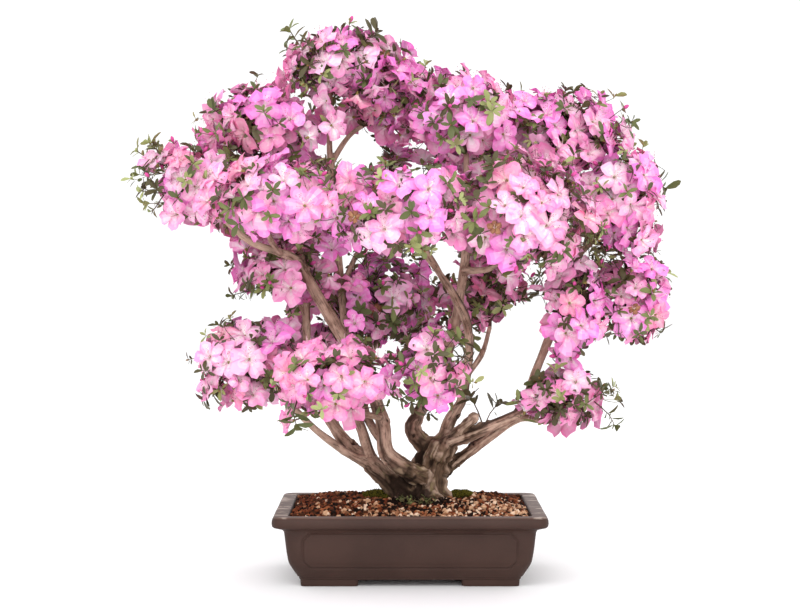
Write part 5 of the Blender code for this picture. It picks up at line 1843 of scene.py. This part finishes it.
@dataclass
class Pot:
    """The rectangular pot: a curved body with a line panel on each side, a moulded rim, four feet.

    Its skin is a profile of (inset, height, corner radius) carried round a rounded rectangle.
    """

    wall_foot: float = 0.0190
    wall_top: float = 0.0735
    straight_from: float = 0.0275  # from the rim's corner to where a side's straight run starts
    panel_low: float = 0.0252
    panel_high: float = 0.0722
    panel_margin: float = 0.0125  # from the end of a side's straight run
    notch: float = 0.0095
    groove: float = 0.0014
    groove_width: float = 0.0013
    fine: float = 0.0008
    foot_size: Point = (0.075, 0.045, 0.0112)
    foot_inset: float = 0.036
    foot_columns: int = 40
    foot_round: float = 0.16  # the power that rounds a foot's corners
    corner_steps: int = 8
    body: tuple[Point, ...] = metres((
        (35, 9, 8), (34.2, 9.8, 8), (33.8, 12.8, 9), (31.8, 13.4, 9), (31.2, 15, 9),
        (28.5, 19, 10), (24.3, 26, 10), (21, 33, 10), (19, 43, 10), (17.5, 54, 10), (16.4, 64, 10),
        (15.2, 73.5, 10), (14, 75.5, 10), (11.8, 76.8, 10), (7, 78.4, 11), (3, 79.6, 12),
        (0.8, 81.6, 13), (0, 85, 14), (0.4, 89.5, 14), (1.4, 92.2, 14), (3.2, 93.6, 13),
        (5.2, 94, 13),
    ))
    inside: tuple[Point, ...] = metres((
        (18, 94, 8), (19.6, 93.7, 8), (20.8, 92.5, 8), (21.5, 90, 8), (26, 60, 8), (36, 22, 8),
        (45, 19, 8),
    ))

    def levels(self) -> Array:
        """The profile's rows: dense where the panel's lines cross the body."""
        body = np.array(self.body)
        wall = (body[:, 1] >= self.wall_foot) & (body[:, 1] <= self.wall_top)
        foot, low = self.panel_low - 0.002, self.panel_low + self.notch + 0.002
        high = self.panel_high - self.notch - 0.002
        lines = [
            even_run(self.wall_foot, foot, 0.002), even_run(foot, low, self.fine),
            even_run(low, high, 0.004), even_run(high, self.panel_high + 0.0013, self.fine),
        ]
        heights = np.concatenate(lines)
        smooth = smooth_route(body[wall], 12)
        rows = [np.interp(heights, smooth[:, 1], smooth[:, k]) for k in range(3)]
        below, above = body[body[:, 1] < self.wall_foot], body[body[:, 1] > self.wall_top]
        return np.concatenate([below, np.stack(rows, axis=1), above, np.array(self.inside)])

    def stations(self) -> tuple[Array, Array, Array, Array]:
        """Where the columns stand round the rectangle.

        Returns:
            Signs of the corner that a column is measured from (two arrays), the distance that it
            lies back from that corner along the side, or 0 on a corner's arc, and the arc's angle.
        """
        half = (POT_LENGTH / 2 - self.straight_from, POT_DEPTH / 2 - self.straight_from)
        near = np.concatenate([
            even_run(0.0, self.panel_margin - 0.003, 0.004),
            even_run(self.panel_margin - 0.003, self.panel_margin + self.notch + 0.003, self.fine),
        ])
        sign_x, sign_y, back, angle = [], [], [], []
        for quarter, (side_x, side_y) in enumerate(((1, 1), (-1, 1), (-1, -1), (1, -1))):
            arc = (quarter + np.arange(self.corner_steps + 1) / self.corner_steps) * math.pi / 2
            run = 2 * half[0] if quarter % 2 == 0 else 2 * half[1]
            middle = even_run(near[-1] + self.fine, run - near[-1] - self.fine, 0.007)
            along = np.concatenate([near[1:], middle, run - near[::-1][:-1]])
            sign_x += [np.full(len(arc) + len(along), side_x)]
            sign_y += [np.full(len(arc) + len(along), side_y)]
            back += [np.zeros(len(arc)), along / run]
            angle += [arc, np.full(len(along), arc[-1])]
        return tuple(np.concatenate(part) for part in (sign_x, sign_y, back, angle))

    def ring(self, inset: Array, round_by: Array) -> tuple[Array, Array]:
        """The rectangle's points at each level.

        Args:
            inset: (levels, 1), from the rim's outer edge.
            round_by: (levels, 1), the corners' radius.

        Returns:
            The points' x and y, (levels, columns).
        """
        sign_x, sign_y, back, angle = self.stations()
        half_x, half_y = POT_LENGTH / 2 - inset - round_by, POT_DEPTH / 2 - inset - round_by
        x = sign_x * half_x + round_by * np.cos(angle)
        y = sign_y * half_y + round_by * np.sin(angle)
        x = x - sign_x * 2 * half_x * back * (sign_x == sign_y)
        y = y - sign_y * 2 * half_y * back * (sign_x != sign_y)
        return x, y

    def panel_groove(self, x: Array, y: Array, z: Array) -> Array:
        """How deep the panel's line cuts: g·exp(-(d / w)²), d from a rectangle with cut corners."""
        middle = (self.panel_high + self.panel_low) / 2
        tall = (self.panel_high - self.panel_low) / 2
        length_way = np.abs(y) / POT_DEPTH > np.abs(x) / POT_LENGTH - 0.055
        across = np.where(length_way, np.abs(x), np.abs(y))
        wide = np.where(length_way, POT_LENGTH / 2, POT_DEPTH / 2)
        wide = wide - self.straight_from - self.panel_margin
        over_x, over_z = across - wide, np.abs(z - middle) - tall
        cut = (over_x + over_z + self.notch) / math.sqrt(2.0)
        away = np.maximum(np.maximum(over_x, over_z), cut)
        line = np.exp(-((away / self.groove_width) ** 2))
        lip = np.exp(-(((away + 0.0026) / 0.0013) ** 2))
        return self.groove * (line - 0.35 * lip)

    def shell(self) -> Shell:
        """The pot's skin from the middle of its underside to the middle of its floor."""
        inset, height, round_by = self.levels().T[:, :, None]
        x, y = self.ring(inset, round_by)
        z = np.broadcast_to(height, x.shape)
        outside = (np.arange(len(inset)) < len(inset) - len(self.inside))[:, None]
        wall = outside & (height > self.wall_foot + 0.0005) & (height < self.wall_top + 0.0015)
        sink = np.where(wall, self.panel_groove(x, y, z), 0.0)
        flow = np.stack([x, y, z], axis=-1)
        round_way = np.roll(flow, -1, 1) - np.roll(flow, 1, 1)
        normal = unit(np.cross(round_way, np.gradient(flow, axis=0)))
        sway = lattice_noise(flow.reshape(-1, 3) / 0.05, 2.0).reshape(x.shape) * 0.00025
        flow = flow - normal * (sink + sway * outside)[..., None]
        rows, columns = x.shape
        poles = np.array(((0.0, 0.0, 0.0090), (0.0, 0.0, 0.0190)))
        points = np.concatenate([flow.reshape(-1, 3), poles]) + (*POT_MIDDLE, 0.0)
        return Shell(points, closed_faces(rows, columns))

    def foot(self, side_x: int, side_y: int) -> Shell:
        """One foot: a block with rounded corners and soft edges, let into the body."""
        top = (-0.0006, self.foot_size[2])
        levels = np.array(((0.0016, 0.0), (0.0004, 0.0004), (0.0, 0.0016), top))
        half = np.array(self.foot_size[:2]) / 2
        middle = np.array((POT_LENGTH, POT_DEPTH)) / 2 - self.foot_inset - half
        angle = np.linspace(0.0, math.tau, self.foot_columns, endpoint=False)
        spread = np.stack([np.cos(angle), np.sin(angle)], axis=1)
        blunt = np.sign(spread) * np.abs(spread) ** self.foot_round
        flat = blunt[None] * (half - levels[:, :1])[:, None]
        flat = flat + middle * (side_x, side_y)
        height = np.broadcast_to(levels[:, 1:, None], (*flat.shape[:2], 1))
        rings = np.concatenate([flat, height], axis=2)
        poles = np.array([(*(middle * (side_x, side_y)), z) for z in (0.0, self.foot_size[2])])
        points = np.concatenate([rings.reshape(-1, 3), poles]) + (*POT_MIDDLE, 0.0)
        return Shell(points, closed_faces(len(levels), self.foot_columns))

    def build(self) -> None:
        """Makes the pot with its feet as one piece."""
        feet = [self.foot(x, y) for x in (-1, 1) for y in (-1, 1)]
        whole = Shell.joined([self.shell(), *feet])
        piece = set_down("pot_body", whole, [Clay().material()], ["pot"])
        piece.data.set_sharp_from_angle(angle=math.radians(50))


# ---- soil, grains and moss
# The mound's height, by how far a place lies inside the rim.
SOIL_RISE = metres(((22.4, 88.5), (40, 93), (60, 98), (78, 101), (92, 102.2)))


def soil_inset(x: Array, y: Array) -> Array:
    """How far a place lies inside the rim's outer edge."""
    from_end = POT_LENGTH / 2 - np.abs(x - POT_MIDDLE[0])
    return np.minimum(from_end, POT_DEPTH / 2 - np.abs(y - POT_MIDDLE[1]))


def soil_height(x: Array, y: Array) -> Array:
    """The mound's height there, with a slight unevenness."""
    inset, rise = np.array(SOIL_RISE).T
    flat = np.stack([x, y, np.zeros_like(x)], axis=-1)
    return np.interp(soil_inset(x, y), inset, rise) + 0.0009 * lattice_noise(flat / 0.018, 4.0)


class GrainTint(Enum):
    """The soil's grains: fired red ones, pale pumice and damp dark ones."""

    RED = (0.150, 0.036, 0.014)
    BROWN = (0.064, 0.021, 0.009)
    ORANGE = (0.290, 0.092, 0.036)
    DAMP = (0.012, 0.005, 0.003)
    TAN = (0.300, 0.130, 0.064)
    SAND = (0.570, 0.335, 0.200)
    CREAM = (0.790, 0.570, 0.410)


@dataclass
class Soil:
    """The soil body and the loose grains that cover it."""

    rows: int = 60
    columns: int = 84
    grains: int = 6200
    wall: float = 0.0224
    grain_wall: float = 0.0222
    pale_from: tuple[float, float] = (-0.078, -0.040)  # pumice to the right of, in front of
    trunk_middle: tuple[float, float] = (0.022, -0.020)
    dark_reach: float = 0.052
    floor: float = 0.0200

    def body(self) -> Shell:
        """A sheet over the mound whose edge runs down to a flat underside inside the pot.

        The rim's points, (u, v) at ±1, are repeated lower and further in; the top is z = h(x, y).
        """
        half_x, half_y = POT_LENGTH / 2 - self.wall, POT_DEPTH / 2 - self.wall
        u, v = np.meshgrid(np.linspace(-1, 1, self.columns), np.linspace(-1, 1, self.rows))
        x, y = POT_MIDDLE[0] + u * half_x, POT_MIDDLE[1] + v * half_y
        top = np.stack([x, y, soil_height(x, y)], axis=-1).reshape(-1, 3)
        low = np.stack([
            POT_MIDDLE[0] + u * (half_x - 0.016), POT_MIDDLE[1] + v * (half_y - 0.016),
            np.full_like(u, self.floor + 0.004),
        ], axis=-1).reshape(-1, 3)
        count = self.rows * self.columns
        number = np.arange(count).reshape(self.rows, self.columns)
        rim = np.concatenate([number[0], number[1:, -1], number[-1, -2::-1], number[-2:0:-1, 0]])
        after = np.roll(rim, -1)
        skirt = np.stack([rim + count, after + count, after, rim], axis=1)
        sheet = grid_faces(self.rows, self.columns)
        faces = np.concatenate([sheet, sheet[:, ::-1] + count, skirt])
        return Shell(np.concatenate([top, low]), faces)

    def lay(self, chance: Chance) -> tuple[Array, Array, Array]:
        """Where the grains lie, how big they are and what tint each has.

        Pale pumice lies mostly in front and to the right, red grains to the left and behind, and
        the darkest ones gather round the trunk.
        """
        half_x, half_y = POT_LENGTH / 2 - self.wall - 0.0015, POT_DEPTH / 2 - self.wall - 0.0015
        x = POT_MIDDLE[0] + chance.uniform(-half_x, half_x, self.grains)
        y = POT_MIDDLE[1] + chance.uniform(-half_y, half_y, self.grains)
        left, back = self.pale_from
        pale = 1.0 / (1.0 + np.exp(-(x - left) * 55.0))
        pale = pale / (1.0 + np.exp((y - back) * 42.0 - x * 9.0))
        pale = 0.02 + 0.54 * pale
        off_x, off_y = x - self.trunk_middle[0], y - self.trunk_middle[1]
        # Darker round the trunk's foot: the darkest tint gathers there.
        trunk = np.exp(-((off_x / self.dark_reach) ** 4 + (off_y / self.dark_reach) ** 4))
        draw, pick = chance.uniform(size=self.grains), chance.uniform(size=self.grains)
        light = np.searchsorted((0.40, 0.74, 1.0), pick) + 4
        red = np.searchsorted((0.44, 0.80, 1.0), pick)
        tint = np.where(draw < pale, light, red)
        tint = np.where(chance.uniform(size=self.grains) < trunk * 0.95, 3, tint)
        tint = np.where(chance.uniform(size=self.grains) < 0.23, 3, tint)
        size = np.where(tint >= 4, 0.0030, 0.0025) * chance.uniform(0.55, 1.45, self.grains)
        z = soil_height(x, y) + size * chance.uniform(-0.1, 0.75, self.grains)
        return np.stack([x, y, z], axis=1), size, tint

    def grain_shell(self) -> Shell:
        """The grains: each a twenty-sided pebble with corners of its own."""
        chance = np.random.default_rng(Seed.GRAINS)
        middle, size, tint = self.lay(chance)
        count = self.grains
        golden = (1 + math.sqrt(5)) / 2
        corners = unit(np.array([
            (-1, golden, 0), (1, golden, 0), (-1, -golden, 0), (1, -golden, 0), (0, -1, golden),
            (0, 1, golden), (0, -1, -golden), (0, 1, -golden), (golden, 0, -1), (golden, 0, 1),
            (-golden, 0, -1), (-golden, 0, 1),
        ]))
        sides = np.array([
            (0, 11, 5), (0, 5, 1), (0, 1, 7), (0, 7, 10), (0, 10, 11), (1, 5, 9), (5, 11, 4),
            (11, 10, 2), (10, 7, 6), (7, 1, 8), (3, 9, 4), (3, 4, 2), (3, 2, 6), (3, 6, 8),
            (3, 8, 9), (4, 9, 5), (2, 4, 11), (6, 2, 10), (8, 6, 7), (9, 8, 1),
        ])
        faces = np.column_stack([sides, np.full(len(sides), -1)])
        lumpy = corners * chance.uniform(0.72, 1.18, (count, 12, 1))
        lumpy = lumpy * chance.uniform(0.70, 1.15, (count, 1, 3)) * size[:, None, None]
        axes = frames_on(any_ways(chance, count), any_ways(chance, count))
        points = np.einsum("nvi,nij->nvj", lumpy, axes) + middle[:, None]
        inner = np.array((POT_LENGTH, POT_DEPTH)) / 2 - self.grain_wall
        points[..., :2] = np.clip(points[..., :2] - POT_MIDDLE, -inner, inner) + POT_MIDDLE
        return Shell.repeated(points, faces, np.broadcast_to(tint[:, None], (count, len(faces))))

    def build(self) -> None:
        """Makes the body and the grains."""
        set_down("soil_body", self.body(), [Earth().material()], ["soil"])
        look = {"roughness": 0.88, "grain": 0.0007, "relief": 0.0004, "specular": 0.14}
        finishes = tinted_set("grain", GrainTint, **look)
        set_down("soil_grains", self.grain_shell(), finishes, ["soil"], smooth=False)


class MossTint(Enum):
    """The moss's greens."""

    DEEP = (0.024, 0.020, 0.003)
    GREEN = (0.095, 0.085, 0.009)
    BRIGHT = (0.215, 0.180, 0.024)


@dataclass
class Moss:
    """A cushion of moss: a lumpy dome under short tufts, with a fringe of loose ones."""

    name: str
    middle: tuple[float, float]
    size: Point
    seed: int
    tufts: int = 2600
    sunk: float = 0.002  # how far its edge lies under the soil

    def height(self, flat: Array) -> Array:
        """The dome h·√(1 - r²) with lumps, over the soil."""
        far = np.clip(1.0 - (flat**2).sum(-1), 0.0, 1.0)
        level = np.full((*flat.shape[:-1], 1), self.seed * 3.1)
        place = np.concatenate([flat * 2.6, level], axis=-1)
        return self.size[2] * np.sqrt(far) * (0.86 + 0.22 * lattice_noise(place, self.seed))

    def put(self, flat: Array) -> Array:
        """Points over the soil from places in the dome's unit disc."""
        x = self.middle[0] + flat[..., 0] * self.size[0]
        y = self.middle[1] + flat[..., 1] * self.size[1]
        return np.stack([x, y, soil_height(x, y) + self.height(flat)], axis=-1)

    def dome(self) -> Shell:
        """The cushion: rings of points that close at its top and under its foot."""
        rings, around = 12, 36
        radius = np.sin(np.linspace(0.04, 1.0, rings) * math.pi / 2)[::-1]
        angle = np.arange(around) / around * math.tau
        flat = radius[:, None, None] * np.stack([np.cos(angle), np.sin(angle)], axis=1)
        skin = self.put(flat)
        poles = self.put(np.zeros((2, 2)))
        poles[0, 2] -= self.size[2] + self.sunk
        skin[0, :, 2] -= self.sunk
        points = np.concatenate([skin.reshape(-1, 3), poles])
        return Shell(points, closed_faces(rings, around))

    def tuft_shell(self) -> Shell:
        """Three-sided blades that stand on the cushion and thin out past its edge."""
        chance = np.random.default_rng(self.seed)
        reach = np.sqrt(chance.uniform(0.0, 1.35, self.tufts))
        turn = chance.uniform(0.0, math.tau, self.tufts)
        flat = np.stack([reach * np.cos(turn), reach * np.sin(turn)], axis=1)
        foot = self.put(flat) - UP * 0.0006
        upright = np.column_stack([flat * 0.6, np.ones(self.tufts)])
        way = unit(upright + chance.normal(0, 0.35, (self.tufts, 3)))
        length = chance.uniform(0.0018, 0.0046, self.tufts)
        reach = length[:, None, None] * np.array((0.0, 0.8))[:, None]
        routes = foot[:, None] + way[:, None] * reach
        radii = np.broadcast_to(np.array((0.00050, 0.00024)), (self.tufts, 2))
        shell = tubes(routes, radii, 3, unit(np.cross(way, any_ways(chance, self.tufts))))
        tint = np.searchsorted((0.34, 0.76, 1.0), chance.uniform(size=self.tufts))
        shell.zones = np.repeat(tint, len(shell.faces) // self.tufts)
        return shell

    def build(self) -> None:
        """Makes the cushion with its tufts."""
        look = {"roughness": 0.85, "grain": 0.0009, "relief": 0.0004, "specular": 0.12}
        finishes = tinted_set(self.name, MossTint, **look)
        whole = Shell.joined([self.dome(), self.tuft_shell()])
        set_down(f"{self.name}_cushion", whole, finishes, [self.name])


@dataclass
class Studio:
    """The pale floor, the soft lights and the camera."""

    floor_side: float = 600.0
    lit_middle: Point = (0.0, 0.0, 0.38)
    sky: Numbers = (0.93, 0.93, 0.935, 1.0)
    sky_strength: float = 1.20

    def lay_floor(self) -> None:
        """A wide floor at ground level."""
        half = self.floor_side / 2
        points = np.array([(-half, -half, 0), (half, -half, 0), (half, half, 0), (-half, half, 0)])
        shell = Shell(points, np.array([(0, 1, 2, 3)]))
        mesh = shell.mesh("floor", [StudioFloor().material()], False)
        linked("floor", mesh)

    def add_lamp(self, name: str, place: Point, side: float, watts: float) -> None:
        """A square soft lamp that faces the crown's middle."""
        lamp = bpy.data.lights.new(name, "AREA")
        lamp.shape, lamp.size, lamp.energy = "SQUARE", side, watts
        axes = frames_on(np.array(place) - self.lit_middle, UP)
        rows = [[*axes[:, row], place[row]] for row in range(3)] + [[0, 0, 0, 1]]
        linked(name, lamp).matrix_world = Matrix(rows)

    def set_lights(self) -> None:
        """A key from high on the left, fills from the front and behind, and a pale sky."""
        self.add_lamp("key", (-0.8, -2.5, 2.7), 2.0, 33.0)
        self.add_lamp("fill", (0.7, -3.4, 0.9), 2.4, 38.0)
        self.add_lamp("back", (0.8, 2.6, 2.4), 2.4, 22.0)
        world = bpy.data.worlds.new("studio")
        bpy.context.scene.world = world
        world.use_nodes = True
        sky = world.node_tree.nodes["Background"]
        sky.inputs["Color"].default_value = self.sky
        sky.inputs["Strength"].default_value = self.sky_strength
        bpy.context.scene.view_settings.view_transform = "Standard"

    def place_camera(self) -> None:
        """The camera at the viewer's eye, tilted slightly down."""
        camera = bpy.data.cameras.new("camera")
        camera.lens, camera.sensor_width = LENS_MM, SENSOR_MM
        holder = linked("camera", camera)
        holder.location = (0.0, -EYE_BACK, EYE_HEIGHT)
        holder.rotation_euler = (math.pi / 2 - LEVEL_TILT, 0.0, 0.0)
        bpy.context.scene.camera = holder

    def build(self) -> None:
        """Sets up the studio."""
        self.lay_floor()
        self.set_lights()
        self.place_camera()


def main() -> None:
    """Builds the studio, the pot, the soil, the wood and the crown, in that order."""
    logging.basicConfig(level=logging.INFO, format="%(message)s")
    Studio().build()
    Pot().build()
    Soil().build()
    Moss("moss_left", (-0.030, 0.010), (0.022, 0.020, 0.010), 3).build()
    Moss("moss_right", (0.082, 0.008), (0.018, 0.018, 0.010), 4).build()
    Wood(Skeleton(LIMBS, 4)).build()
    crown = Crown(Skeleton(LIMBS, 2))
    crown.grow()
    Twigs(crown.harvest, crown.names).build()
    Leaves(crown.harvest, crown.names).build()
    Buds(crown.harvest, crown.names).build()
    Blossom(crown.harvest, crown.names).build()


if __name__ == "__main__":
    main()
